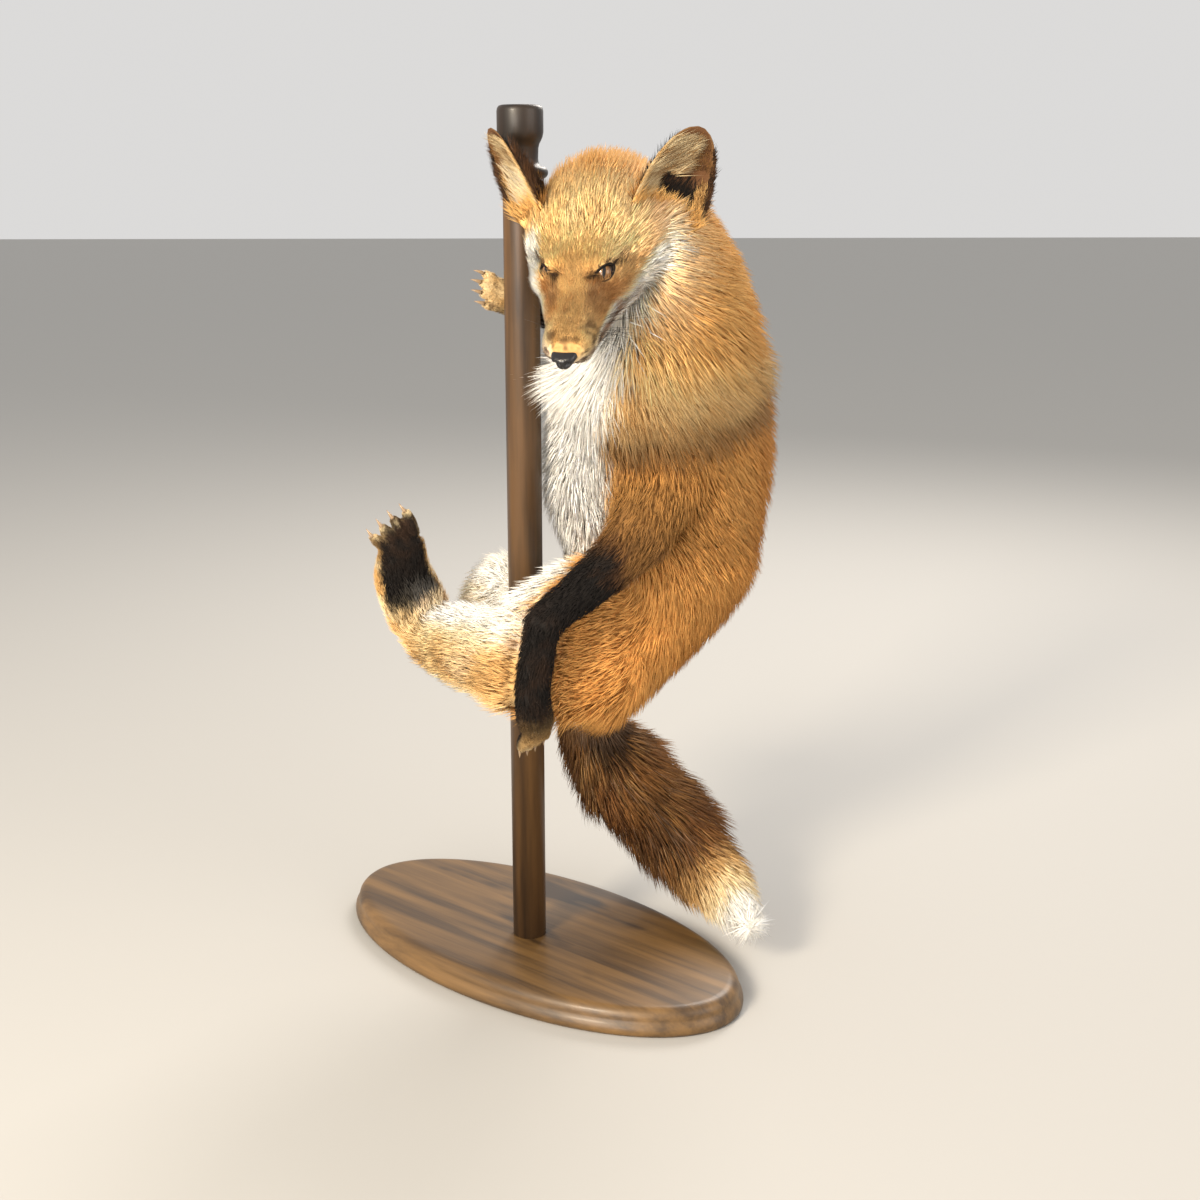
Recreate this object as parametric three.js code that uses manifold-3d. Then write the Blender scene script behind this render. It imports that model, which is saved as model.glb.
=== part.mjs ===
// A mounted red fox hugging a turned wooden pole on an oval wooden base.
// Millimetres, +Z up. The origin is on the underside of the base, on the axis of the pole.
// Every solid of the fox reaches out to the tips of its coat.
import * as THREE from "three";
import { mergeVertices } from "three/addons/utils/BufferGeometryUtils.js";
import Module from "manifold-3d";

const wasm = await Module();
wasm.setup();

// ---------------------------------------------------------------- driving dimensions

const GAP = 0.4; // clearance left between two pieces that touch
const SNAP = 0.15; // edges shorter than this are collapsed after a cut

const BASE = {
  thickness: 25,
  top: { long: 217, short: 104 }, // half axes of the flat top
  lip: 11, // how far the moulded edge stands out beyond the flat top
  centre: [8, 13],
  turn: 138, // degrees from +X to the long axis
  sides: 32,
};

const POLE = {
  radius: 15.6,
  foot: BASE.thickness + GAP,
  top: 787,
  cap: { radius: 19.8, height: 27 },
  bead: { radius: 23.5, height: 11, middle: 732 },
  sides: 14,
};

const COAT = {
  round: 10, // facets round a limb
  along: 2, // rings between two stations
  dome: [70, 36], // degrees of latitude of the rings that round off an end
};

// The head's own frame: forward along the muzzle, left and up, from the middle of the eyes.
const HEAD = { eyes: [46, -101, 653], yaw: -108.9, pitch: 35 };
const EYE = { radius: 9.5, left: 21, forward: 2, up: 2 };
const EAR = {
  left: { root: [-61, 59, 20], tip: [-84, 94, 79], turn: 15 }, // [forward, outwards, up]
  right: { root: [-62, 50, 20], tip: [-84, 83, 80], turn: 42 },
  // turn is how many degrees the cup opens outwards of straight ahead
  width: 62,
  depth: 18, // how deep the cup is
  wall: 4,
};

// Lengths in mm; pitch, taper and fork are shares of the toe's girth or mm a place from the middle.
const TOE = { length: 20, shorter: 3, pitch: 1.15, fork: 1.6, taper: [0.72, 0.8] };
const CLAW = { radius: 2.2, length: 11, sides: 3, lift: 1.5 };

// Joints of the skeleton, where the limbs bend.
const JOINT = {
  nape: [99, -42, 690],
  neck: [128, -14, 622],
  withers: [119, 6, 556],
  chest: [123, 40, 495],
  ribs: [127, 50, 442],
  loin: [129, 48, 385],
  flank: [105, 35, 335],
  pelvis: [78, 25, 294],
  rump: [54, 18, 257],
  left: {
    shoulder: [126, -8, 508],
    elbow: [101, -45, 425],
    wrist: [14, -98, 362],
    knuckles: [5, -92, 290],
    fingers: [7, -66, 253],
    hip: [76, -10, 304],
    knee: [-13, -72, 320],
    hock: [-88, 26, 308],
    sole: [-111, 9, 378],
    toes: [-110, 2, 411],
  },
  right: {
    shoulder: [104, 92, 505],
    elbow: [112, 126, 588],
    wrist: [38, 52, 604],
    knuckles: [4, 38, 618],
    fingers: [-20, 24, 628],
    hip: [72, 54, 300],
    knee: [-34, 68, 354],
    hock: [40, 104, 250],
    sole: [-30, 96, 270],
    toes: [-62, 88, 286],
  },
};

const DORSAL = new THREE.Vector3(0.906, 0.423, 0); // the fox's back faces away from the pole

const FUR = {
  orange: { color: 0xc4772f, roughness: 0.9 },
  gold: { color: 0xd79a52, roughness: 0.9 },
  white: { color: 0xeee6d8, roughness: 0.9 },
  black: { color: 0x1c1714, roughness: 0.85 },
  brown: { color: 0x8a5a30, roughness: 0.9 },
  cream: { color: 0xe3cfa8, roughness: 0.9 },
};
const LEATHER = { color: 0x151313, roughness: 0.35 };
const GLASS = { color: 0xa86a1c, roughness: 0.08 };
const WOOD = { color: 0x4b2a14, roughness: 0.35 };

// ---------------------------------------------------------------- closed meshes and solids

const vector = (point) => (point.isVector3 ? point : new THREE.Vector3(...point));

/** The triangles that join each ring of points to the next. */
function walls(rings) {
  const round = rings[0].length;
  const faces = [];
  for (let r = 0; r + 1 < rings.length; r += 1) {
    for (let s = 0; s < round; s += 1) {
      const [a, b] = [r * round + s, r * round + ((s + 1) % round)];
      faces.push(a, b, b + round, a, b + round, a + round);
    }
  }
  return faces;
}

/** A solid from rings of points: each ring joins the next, and each end closes on its middle. */
function loft(rings) {
  const round = rings[0].length;
  const points = rings.flat();
  const middle = (ring) =>
    ring.reduce((sum, p) => sum.add(p), new THREE.Vector3()).divideScalar(round);
  points.push(middle(rings[0]), middle(rings.at(-1)));
  const faces = walls(rings);
  const last = (rings.length - 1) * round;
  for (let s = 0; s < round; s += 1) {
    const next = (s + 1) % round;
    faces.push(points.length - 2, next, s, points.length - 1, last + s, last + next);
  }
  return solid(new Float32Array(points.flatMap((p) => p.toArray())), new Uint32Array(faces));
}

/** A manifold solid from closed triangles, turned right side out. */
function solid(vertProperties, triVerts) {
  const made = new wasm.Manifold(new wasm.Mesh({ numProp: 3, vertProperties, triVerts }));
  if (made.volume() >= 0) return made;
  for (let i = 0; i < triVerts.length; i += 3) {
    [triVerts[i + 1], triVerts[i + 2]] = [triVerts[i + 2], triVerts[i + 1]];
  }
  return new wasm.Manifold(new wasm.Mesh({ numProp: 3, vertProperties, triVerts }));
}

/** A solid from one of three.js's own closed geometries. */
function fromGeometry(geometry) {
  geometry.deleteAttribute("normal");
  geometry.deleteAttribute("uv");
  const merged = mergeVertices(geometry, 1e-3);
  return solid(merged.attributes.position.array, new Uint32Array(merged.index.array));
}

/** Several solids joined in one. */
const join = (solids) => solids.reduce((whole, piece) => whole.add(piece));

/**
 * A rounded limb through stations [point, half width, half height].
 * up is the side that the height is measured towards, grow swells the whole limb,
 * and the ends bulge out by bulge times their own girth.
 */
function limb(stations, options = {}) {
  const { up = DORSAL, grow = 0, bulge = 0.6 } = options;
  const { round = COAT.round, along: between = COAT.along, dome = COAT.dome } = options;
  const centres = stations.map(([point]) => vector(point));
  const path = new THREE.CatmullRomCurve3(centres, false, "centripetal");
  const sizes = stations.map(([, wide, high], i) => new THREE.Vector3(wide, high, i));
  const size = (t) => new THREE.CatmullRomCurve3(sizes, false, "catmullrom", 0.5).getPoint(t);
  const steps = (stations.length - 1) * between;
  const rings = [];
  const ring = (t, shrink, push) => {
    const along = path.getTangent(t);
    const high = vector(up).clone().addScaledVector(along, -vector(up).dot(along)).normalize();
    const wide = new THREE.Vector3().crossVectors(along, high);
    const { x: w, y: h } = size(t);
    const centre = path.getPoint(t).addScaledVector(along, push);
    rings.push(
      Array.from({ length: round }, (_, s) => {
        const turn = (2 * Math.PI * s) / round;
        return centre
          .clone()
          .addScaledVector(wide, Math.cos(turn) * (w + grow) * shrink)
          .addScaledVector(high, Math.sin(turn) * (h + grow) * shrink);
      }),
    );
  };
  const angles = dome.map(THREE.MathUtils.degToRad);
  const reach = (t) => bulge * Math.min(size(t).x, size(t).y) + grow;
  angles.forEach((a) => ring(0, Math.cos(a), -reach(0) * Math.sin(a)));
  for (let i = 0; i <= steps; i += 1) ring(i / steps, 1, 0);
  angles.toReversed().forEach((a) => ring(1, Math.cos(a), reach(1) * Math.sin(a)));
  return loft(rings);
}

const group = new THREE.Group();
const placed = []; // the swollen shape of every piece so far, which the next ones keep clear of

/** Adds one node: its solid, cut clear of every piece placed before it. */
function place(name, shape, material) {
  const whole = placed.reduce((rest, other) => rest.subtract(other), shape(0)).simplify(SNAP);
  const body = whole.decompose().sort((a, b) => b.volume() - a.volume())[0];
  const { vertProperties, triVerts } = body.getMesh();
  const geometry = new THREE.BufferGeometry()
    .setAttribute("position", new THREE.BufferAttribute(vertProperties, 3))
    .setIndex(new THREE.BufferAttribute(triVerts, 1));
  geometry.computeVertexNormals();
  const mesh = new THREE.Mesh(geometry, new THREE.MeshStandardMaterial(material));
  mesh.name = name;
  group.add(mesh);
  placed.push(shape(GAP));
}

// ---------------------------------------------------------------- the stand

/** The oval base: a flat top, a moulded edge with a bead and a cove, and a flat underside. */
function baseShape(grow) {
  const { thickness, top, lip, centre, turn, sides } = BASE;
  const profile = [ // [how far beyond the flat top, height]
    [lip - 3, 0],
    [lip, 3],
    [lip, 8],
    [lip - 3.5, 13],
    [lip - 4, 17],
    [lip - 7, 22],
    [0, thickness],
  ];
  const facing = THREE.MathUtils.degToRad(turn);
  const rings = profile.map(([out, z]) =>
    Array.from({ length: sides }, (_, s) => {
      const a = (2 * Math.PI * s) / sides;
      const x = (top.long + out + grow) * Math.cos(a);
      const y = (top.short + out + grow) * Math.sin(a);
      return new THREE.Vector3(
        centre[0] + x * Math.cos(facing) - y * Math.sin(facing),
        centre[1] + x * Math.sin(facing) + y * Math.cos(facing),
        z === thickness ? z + grow : z,
      );
    }),
  );
  return loft(rings);
}

/** The turned pole: a plain shaft, a bead, a cove and an eased cylindrical cap. */
function poleShape(grow) {
  const { radius, foot, top, cap, bead, sides } = POLE;
  const beadFoot = bead.middle - bead.height / 2;
  const beadTop = bead.middle + bead.height / 2;
  const capFoot = top - cap.height;
  const half = bead.height / 2;
  const profile = [
    [0, foot],
    [radius, foot],
    [radius, beadFoot - 3],
    [radius + 2, beadFoot],
    ...[-50, 0, 50].map((degrees) => {
      const a = THREE.MathUtils.degToRad(degrees);
      return [radius + 2 + (bead.radius - radius - 2) * Math.cos(a), bead.middle + half * Math.sin(a)];
    }),
    [radius + 1, beadTop],
    [radius - 0.5, beadTop + 6],
    [radius + 0.5, capFoot - 5],
    [cap.radius - 1.5, capFoot],
    [cap.radius, capFoot + 5],
    [cap.radius, top - 4],
    [cap.radius - 1.2, top - 1.2],
    [cap.radius - 4, top],
    [0, top],
  ];
  const grown = profile.map(([r, z], i) => {
    const end = (i === profile.length - 1) - (i === 0);
    return new THREE.Vector2(r ? r + grow : 0, z + grow * end);
  });
  return fromGeometry(new THREE.LatheGeometry(grown, sides).rotateX(Math.PI / 2));
}

place("stand_base", baseShape, WOOD);
place("stand_pole", poleShape, WOOD);

// ---------------------------------------------------------------- the head

const [yaw, pitch] = [HEAD.yaw, HEAD.pitch].map(THREE.MathUtils.degToRad);
const forward = new THREE.Vector3(
  Math.cos(yaw) * Math.cos(pitch),
  Math.sin(yaw) * Math.cos(pitch),
  -Math.sin(pitch),
);
const leftward = new THREE.Vector3(-Math.sin(yaw), Math.cos(yaw), 0);
const upward = new THREE.Vector3().crossVectors(forward, leftward);

/** A point of the head, from how far forward, left and up of the middle of the eyes it is. */
const onHead = (f, l, u) =>
  vector(HEAD.eyes)
    .clone()
    .addScaledVector(forward, f)
    .addScaledVector(leftward, l)
    .addScaledVector(upward, u);

/** A glass eye, a ball set in the side of the head. */
const eyeShape = (side) => (grow) => {
  const ball = new THREE.SphereGeometry(EYE.radius + grow, 10, 7);
  const at = onHead(EYE.forward, side * EYE.left, EYE.up);
  return fromGeometry(ball.translate(at.x, at.y, at.z));
};

/** The black nose pad, wider than high, with a blunt front. */
const noseShape = (grow) =>
  limb(
    [
      [onHead(78, 5, -13.5), 9.5, 8],
      [onHead(85, 6, -14.5), 10.5, 8.5],
      [onHead(90, 6, -16), 9, 7.5],
    ],
    { up: upward, grow, bulge: 0.45, round: 10, along: 1 },
  );

/** The skull with its coat: broad at the cheeks, narrow at the brow. */
const craniumShape = (grow) =>
  limb(
    [
      [onHead(-94, 4, 8), 52, 51],
      [onHead(-68, 3, 2), 64, 57],
      [onHead(-40, 1, -5), 63, 50],
      [onHead(-16, 0, -9), 52, 38],
      [onHead(4, 0, -9), 38, 26],
      [onHead(18, 0, -12), 28, 20],
    ],
    { up: upward, grow, bulge: 0.4 },
  );

/** The muzzle, tapering to the nose. */
const muzzleShape = (grow) =>
  limb(
    [
      [onHead(8, 0, -14), 32, 18],
      [onHead(28, 2, -13), 28, 16],
      [onHead(50, 5, -13), 23, 13.5],
      [onHead(70, 6, -14.5), 20, 12.5],
      [onHead(81, 6, -15.5), 13.5, 9.5],
    ],
    { up: upward, grow, bulge: 0.35 },
  );

/** The lower jaw, closed under the muzzle. */
const jawShape = (grow) =>
  limb(
    [
      [onHead(-10, 1, -26), 46, 19],
      [onHead(18, 2, -26.5), 34, 14],
      [onHead(44, 4.5, -27), 23, 10],
      [onHead(70, 6, -26.5), 15, 7.5],
    ],
    { up: upward, grow, bulge: 0.5, round: 8 },
  );

/** An ear: a pointed leaf, cupped forwards and outwards, with a rounded edge. */
const earShape = ({ root, tip, turn }, side) => (grow) => {
  const { width, depth, wall } = EAR;
  const foot = onHead(root[0], side * root[1], root[2]);
  const point = onHead(tip[0], side * tip[1], tip[2]);
  const rise = new THREE.Vector3().subVectors(point, foot);
  const axis = rise.clone().normalize();
  const swing = THREE.MathUtils.degToRad(turn);
  const open = forward.clone().multiplyScalar(Math.cos(swing));
  open.addScaledVector(leftward, side * Math.sin(swing));
  open.addScaledVector(axis, -open.dot(axis)).normalize();
  const across = new THREE.Vector3().crossVectors(axis, open);
  const [levels, columns] = [7, 7];
  const rings = [];
  for (let i = 0; i <= levels; i += 1) {
    const t = i / levels;
    const half = (width / 2) * Math.sqrt(Math.max(1 - t, 0.004)) * (0.86 + 0.5 * t);
    const cup = depth * (1 - t) ** 0.7 * (half / (width / 2));
    const thick = wall * (1.5 - t);
    const end = (i === levels) - (i === 0);
    const centre = foot.clone().addScaledVector(rise, t).addScaledVector(axis, end * grow);
    const arc = (offset) =>
      Array.from({ length: columns + 1 }, (_, s) => {
        const v = (2 * s) / columns - 1;
        const taper = 1 - 0.55 * v * v;
        return centre
          .clone()
          .addScaledVector(across, v * (half + grow))
          .addScaledVector(open, cup * (v * v - 0.6) + offset * (thick * taper + 2 * grow));
      });
    rings.push([...arc(-0.5), ...arc(0.5).toReversed()]);
  }
  return shell(rings);
};

/** A closed leaf from flat rings, whose first half is its back and second half its front. */
function shell(rings) {
  const round = rings[0].length;
  const points = rings.flat();
  const faces = walls(rings);
  const last = (rings.length - 1) * round;
  for (let s = 0; s + 1 < round / 2; s += 1) {
    const [a, b, c, d] = [s, s + 1, round - 2 - s, round - 1 - s];
    faces.push(b, a, d, b, d, c);
    faces.push(last + a, last + b, last + d, last + b, last + c, last + d);
  }
  return solid(new Float32Array(points.flatMap((p) => p.toArray())), new Uint32Array(faces));
}

for (const [name, side] of [["left", 1], ["right", -1]]) place(`eye_${name}`, eyeShape(side), GLASS);
place("nose", noseShape, LEATHER);
place("head", craniumShape, FUR.gold);
place("muzzle", muzzleShape, FUR.gold);
place("lower_jaw", jawShape, FUR.white);
for (const [name, side] of [["left", 1], ["right", -1]]) {
  place(`ear_${name}`, earShape(EAR[name], side), FUR.black);
}

// ---------------------------------------------------------------- trunk, neck and tail

const chestShape = (grow) =>
  limb(
    [
      [JOINT.withers, 75, 102],
      [JOINT.chest, 79, 116],
      [JOINT.ribs, 76, 116],
      [JOINT.loin, 73, 93],
    ],
    { grow, bulge: 0.35, round: 12 },
  );
const bellyShape = (grow) =>
  limb(
    [
      [JOINT.ribs, 60, 80],
      [JOINT.loin, 73, 92],
      [JOINT.flank, 69, 71],
      [JOINT.pelvis, 62, 54],
      [JOINT.rump, 50, 37],
    ],
    { grow, bulge: 0.5, round: 12 },
  );
const neckShape = (grow) =>
  limb(
    [
      [JOINT.nape, 64, 58],
      [[116, -28, 656], 69, 67],
      [JOINT.neck, 73, 76],
      [JOINT.withers, 77, 99],
    ],
    { grow, bulge: 0.3, round: 11 },
  );

place("neck", neckShape, FUR.orange);
place("chest", chestShape, FUR.orange);
place("belly", bellyShape, FUR.orange);

// ---------------------------------------------------------------- limbs

/** Toes and claws side by side at the end of a foot. */
function toes(end, toward, wide, girth, grow) {
  const ahead = vector(toward).clone().normalize();
  const across = vector(wide).clone().normalize();
  const high = new THREE.Vector3().crossVectors(across, ahead);
  return [-1.5, -0.5, 0.5, 1.5].map((rank) => {
    const reach = TOE.length - TOE.shorter * Math.abs(rank);
    const root = vector(end).clone().addScaledVector(across, rank * girth * TOE.pitch);
    const tip = root.clone().addScaledVector(ahead, reach).addScaledVector(across, rank * TOE.fork);
    const ends = TOE.taper.map((share) => girth * share);
    const toe = limb([[root, girth, girth * 1.1], [tip, ...ends]], {
      up: high,
      grow,
      bulge: 0.9,
      round: 5,
      along: 1,
      dome: [50],
    });
    const claw = new THREE.ConeGeometry(CLAW.radius + grow, CLAW.length, CLAW.sides);
    const aim = new THREE.Quaternion().setFromUnitVectors(new THREE.Vector3(0, 1, 0), ahead);
    const at = tip.clone().addScaledVector(ahead, ends[0] + 1).addScaledVector(high, CLAW.lift);
    claw.applyQuaternion(aim).translate(at.x, at.y, at.z);
    return join([toe, fromGeometry(claw)]);
  });
}

const L = JOINT.left;
const R = JOINT.right;
const sum = (a, b, k) => vector(a).clone().addScaledVector(vector(b), k);

/** One paw: a pad of fur that ends in four clawed toes, which point the pad's way if no other. */
const pawShape = (stations, wide, up, girth, way) => (grow) => {
  const end = vector(stations.at(-1)[0]);
  const toward = way ?? end.clone().sub(vector(stations.at(-2)[0]));
  const pad = limb(stations, { up, grow, bulge: 0.5, round: 7 });
  return join([pad, ...toes(end, toward, wide, girth, grow)]);
};

place("upper_arm_left", (grow) =>
  limb([[L.shoulder, 44, 30], [[118, -24, 466], 42, 30], [L.elbow, 32, 24]],
    { up: [0.4, -0.9, 0], grow }), FUR.orange);
place("forearm_left", (grow) =>
  limb([[L.elbow, 32, 24], [[62, -72, 394], 23, 21], [L.wrist, 17, 16]],
    { up: [0.3, -0.95, 0], grow }), FUR.brown);
place("forepaw_left", pawShape([[L.wrist, 17, 16], [L.knuckles, 18, 15], [L.fingers, 16, 12]],
  [0.88, 0, 0.47], [0, -1, -0.3], 5.8, [-8, 26, -50]), FUR.black);

const groinShape = (grow) =>
  limb([[[96, 6, 354], 44, 48], [[48, -28, 362], 34, 44], [[4, -50, 348], 26, 38]],
    { up: [0, 0, 1], grow });

place("thigh_left", (grow) =>
  join([
    limb([[L.hip, 46, 56], [[38, -36, 304], 40, 58], [L.knee, 32, 48]], { up: [0, 0, 1], grow }),
    groinShape(grow),
  ]), FUR.orange);
place("shank_left", (grow) =>
  limb([[L.knee, 31, 48], [[-55, -28, 320], 28, 44], [L.hock, 22, 29]],
    { up: [0, 0, 1], grow }), FUR.cream);
place("hindfoot_left", pawShape([[L.hock, 25, 20], [sum(L.hock, [-12, -8, 36], 1), 32, 18], [L.sole, 28, 15],
  [L.toes, 22, 12]], [0.8, 0.1, 0.6], [0.2, -1, 0.2], 6.6, [-0.55, -0.2, 0.8]), FUR.black);

place("thigh_right", (grow) =>
  limb([[R.hip, 40, 54], [[20, 62, 326], 34, 46], [R.knee, 27, 34]],
    { up: [0, 0, 1], grow }), FUR.white);
place("shank_right", (grow) =>
  limb([[R.knee, 27, 32], [[4, 88, 300], 24, 27], [R.hock, 18, 20]],
    { up: [0.8, 0, 0.6], grow }), FUR.orange);
place("hindfoot_right", pawShape([[R.hock, 18, 18], [R.sole, 17, 14], [R.toes, 20, 11]],
  [0, 1, 0], [0.2, 0, -1], 5.6), FUR.black);

place("upper_arm_right", (grow) =>
  limb([[R.shoulder, 42, 30], [[110, 112, 548], 36, 28], [R.elbow, 27, 23]],
    { up: [0.3, 0.95, 0], grow }), FUR.orange);
place("forearm_right", (grow) =>
  limb([[R.elbow, 27, 23], [[76, 90, 596], 20, 19], [R.wrist, 15, 14]],
    { up: [0, 0, 1], grow }), FUR.black);
place("forepaw_right", pawShape([[R.wrist, 15, 14], [R.knuckles, 16, 13], [R.fingers, 17, 10]],
  [0, 0.2, 1], [0, 1, 0], 5.6), FUR.black);

// ---------------------------------------------------------------- tail

place("tail_root", (grow) =>
  limb([[[54, 52, 244], 31, 28], [[63, 64, 206], 45, 42], [[88, 78, 164], 56, 52]],
    { grow, bulge: 0.35 }), FUR.orange);
place("tail_middle", (grow) =>
  limb([[[88, 78, 164], 56, 52], [[118, 86, 126], 58, 52], [[148, 80, 92], 52, 46]],
    { grow, bulge: 0.35 }), FUR.brown);
place("tail_tip", (grow) =>
  limb([[[148, 80, 92], 52, 46], [[172, 50, 68], 42, 37], [[192, 8, 56], 30, 26], [[204, -34, 48], 14, 12]],
    { grow, bulge: 1 }), FUR.white);

export default group;
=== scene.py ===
"""A mounted red fox that hugs a turned wooden pole on an oval wooden base.

The shapes are worked out in millimetres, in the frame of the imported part, and become metres in
the meshes. One skin lies inside the solids by the coat's depth. The coat is solid tufts that are
rooted on the skin, follow the lie of the fur and reach out to the solids' outline.
"""

from __future__ import annotations

import logging
import math
from collections.abc import Callable, Iterator, Sequence
from dataclasses import dataclass, field
from enum import Enum

import bpy
import numpy as np
import openvdb
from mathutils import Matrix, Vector

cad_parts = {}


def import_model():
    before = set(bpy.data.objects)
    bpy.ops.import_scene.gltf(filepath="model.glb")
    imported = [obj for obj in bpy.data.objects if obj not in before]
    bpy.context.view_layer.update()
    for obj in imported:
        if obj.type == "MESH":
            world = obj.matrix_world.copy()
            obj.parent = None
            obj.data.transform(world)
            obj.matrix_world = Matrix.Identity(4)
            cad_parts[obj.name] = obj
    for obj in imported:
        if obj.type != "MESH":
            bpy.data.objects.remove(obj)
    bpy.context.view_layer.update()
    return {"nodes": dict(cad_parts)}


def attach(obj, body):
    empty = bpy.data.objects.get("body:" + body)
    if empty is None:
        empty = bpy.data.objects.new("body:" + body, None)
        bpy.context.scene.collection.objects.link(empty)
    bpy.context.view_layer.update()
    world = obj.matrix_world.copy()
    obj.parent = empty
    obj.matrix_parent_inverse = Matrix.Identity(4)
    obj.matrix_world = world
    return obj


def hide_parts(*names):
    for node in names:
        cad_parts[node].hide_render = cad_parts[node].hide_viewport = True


log = logging.getLogger("fox")

MM = 0.001  # one millimetre, in metres
BODY = "root"
FAR = 1000.0  # a distance that stands for "nowhere near", mm

Array = np.ndarray
Point = tuple[float, float, float]
Colour = tuple[int, int, int]
Material = bpy.types.Material
Piece = bpy.types.Object

# ---- colours


def linear(colour: Sequence[float]) -> Array:
    """Scene-linear values, 0 to 1, of one sRGB colour or of rows of them, 0 to 255."""
    c = np.asarray(colour, float) / 255.0
    return np.where(c <= 0.04045, c / 12.92, ((c + 0.055) / 1.055) ** 2.4)


class Tone(Enum):
    """Named colours, each as red, green and blue from 0 to 255."""

    @property
    def rgb(self) -> Array:
        """The colour in scene-linear values."""
        return linear(self.value)


class Fur(Tone):
    """The colours of the coat, as they look at the hairs' tips."""

    BLOND = (253, 222, 164)
    GOLD = (243, 196, 124)
    APRICOT = (233, 176, 102)
    ORANGE = (222, 158, 82)
    RUST = (190, 122, 58)
    CHESTNUT = (138, 88, 46)
    BROWN = (94, 62, 36)
    OLIVE = (150, 108, 58)
    TAN = (224, 180, 116)
    CREAM = (246, 224, 178)
    WHITE = (253, 249, 241)
    SILVER = (186, 176, 164)
    GREY = (124, 110, 96)
    BLACK = (24, 19, 16)


class Iris(Tone):
    """The colours of the glass eyes."""

    AMBER = (122, 84, 44)
    HONEY = (154, 116, 68)
    UMBER = (70, 44, 22)
    DARK = (40, 20, 8)
    RING = (14, 9, 7)
    PUPIL = (6, 5, 5)


def ramp(value: Array, start: float, end: float) -> Array:
    """A smooth step from 0 at start to 1 at end, which may lie below start."""
    t = np.clip((value - start) / (end - start), 0.0, 1.0)
    return t * t * (3.0 - 2.0 * t)


def plain(colour: Tone, count: int) -> Array:
    """Rows of one colour."""
    return np.tile(colour.rgb, (count, 1))


def layered(ground: Tone | Array, rows: Array, *layers: tuple[Tone | Array, Array]) -> Array:
    """Colours laid one over another.

    Args:
        ground: The lowest colour, or rows of colours.
        rows: What is coloured, one thing a row.
        layers: The next colours, each with how much of it shows, one number a row.

    Returns:
        Rows of colours.
    """
    under = plain(ground, len(rows)) if isinstance(ground, Tone) else ground
    for colour, mask in layers:
        over = colour.rgb if isinstance(colour, Tone) else colour
        m = np.clip(mask, 0.0, 1.0)[:, None]
        under = under * (1.0 - m) + over * m
    return under


# ---- arithmetic on rows of points


def unit(v: Array) -> Array:
    """Rows of vectors, each made one long."""
    return v / np.maximum(np.linalg.norm(v, axis=-1, keepdims=True), 1e-9)


def dot(a: Array, b: Array) -> Array:
    """The scalar product of each pair of rows."""
    return np.einsum("...i,...i->...", a, b)


def tangential(v: Array, normal: Array) -> Array:
    """The part of each vector that lies in the surface, made one long."""
    return unit(v - normal * dot(v, normal)[..., None])


def lattice(cell: Array, seed: int) -> Array:
    """A fixed random number from 0 to 1 for each whole-number cell of space.

    Args:
        cell: Rows of three whole numbers.
        seed: Chooses one of many such fields.

    Returns:
        One number a row.
    """
    k = cell.astype(np.int64)
    h = k[..., 0] * 374761393 + k[..., 1] * 668265263 + k[..., 2] * 2147483647 + seed * 974711
    h = (h ^ (h >> 13)) * 1274126177 & 0x7FFFFFFF
    h = (h ^ (h >> 16)) * 461845907 & 0x7FFFFFFF
    return ((h ^ (h >> 11)) & 0xFFFF) / 65535.0


def noise(p: Array, size: float, seed: int) -> Array:
    """Smooth noise in space.

    Args:
        p: Rows of points, mm.
        size: The width of one bump, mm.
        seed: Chooses the pattern.

    Returns:
        One number from -1 to 1 a row.
    """
    q = p / size + seed * 17.3
    cell = np.floor(q)
    f = q - cell
    f = f * f * (3.0 - 2.0 * f)
    total = np.zeros(len(p))
    for corner in np.ndindex(2, 2, 2):
        weight = np.prod(np.where(corner, f, 1.0 - f), axis=-1)
        total += weight * lattice(cell + corner, seed)
    return 2.0 * total - 1.0


def noise_vector(p: Array, size: float, seed: int) -> Array:
    """Smooth noise with three parts, for bending directions."""
    return np.stack([noise(p, size, seed + 31 * i) for i in range(3)], axis=-1)


# ---- curves


def circle(places: int) -> Array:
    """The angles of places spread evenly round a circle, from 0."""
    return np.linspace(0, 2 * math.pi, places, endpoint=False)


def spline(points: Array, at: Array, centripetal: bool) -> Array:
    """Places on a Catmull-Rom curve.

    Args:
        points: The points or sizes that the curve goes through.
        at: Where to read it, in whole points from 0.
        centripetal: Spaces the knots by the root of the distance, otherwise evenly.

    Returns:
        One row for each place.
    """
    last = len(points) - 1
    k = np.minimum(at.astype(int), last - 1)
    w = (at - k)[:, None]
    ends = np.vstack([2 * points[0] - points[1], points, 2 * points[-1] - points[-2]])
    p0, p1, p2, p3 = (ends[k + i] for i in range(4))
    if centripetal:
        d0, d1, d2 = (
            np.sqrt(np.linalg.norm(b - a, axis=1, keepdims=True))
            for a, b in ((p0, p1), (p1, p2), (p2, p3))
        )
        m1 = ((p1 - p0) / d0 - (p2 - p0) / (d0 + d1) + (p2 - p1) / d1) * d1
        m2 = ((p2 - p1) / d1 - (p3 - p1) / (d1 + d2) + (p3 - p2) / d2) * d1
    else:
        m1, m2 = 0.5 * (p2 - p0), 0.5 * (p3 - p1)
    c2 = -3 * p1 + 3 * p2 - 2 * m1 - m2
    c3 = 2 * p1 - 2 * p2 + m1 + m2
    return p1 + m1 * w + c2 * w**2 + c3 * w**3


# ---- the skeleton


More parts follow.
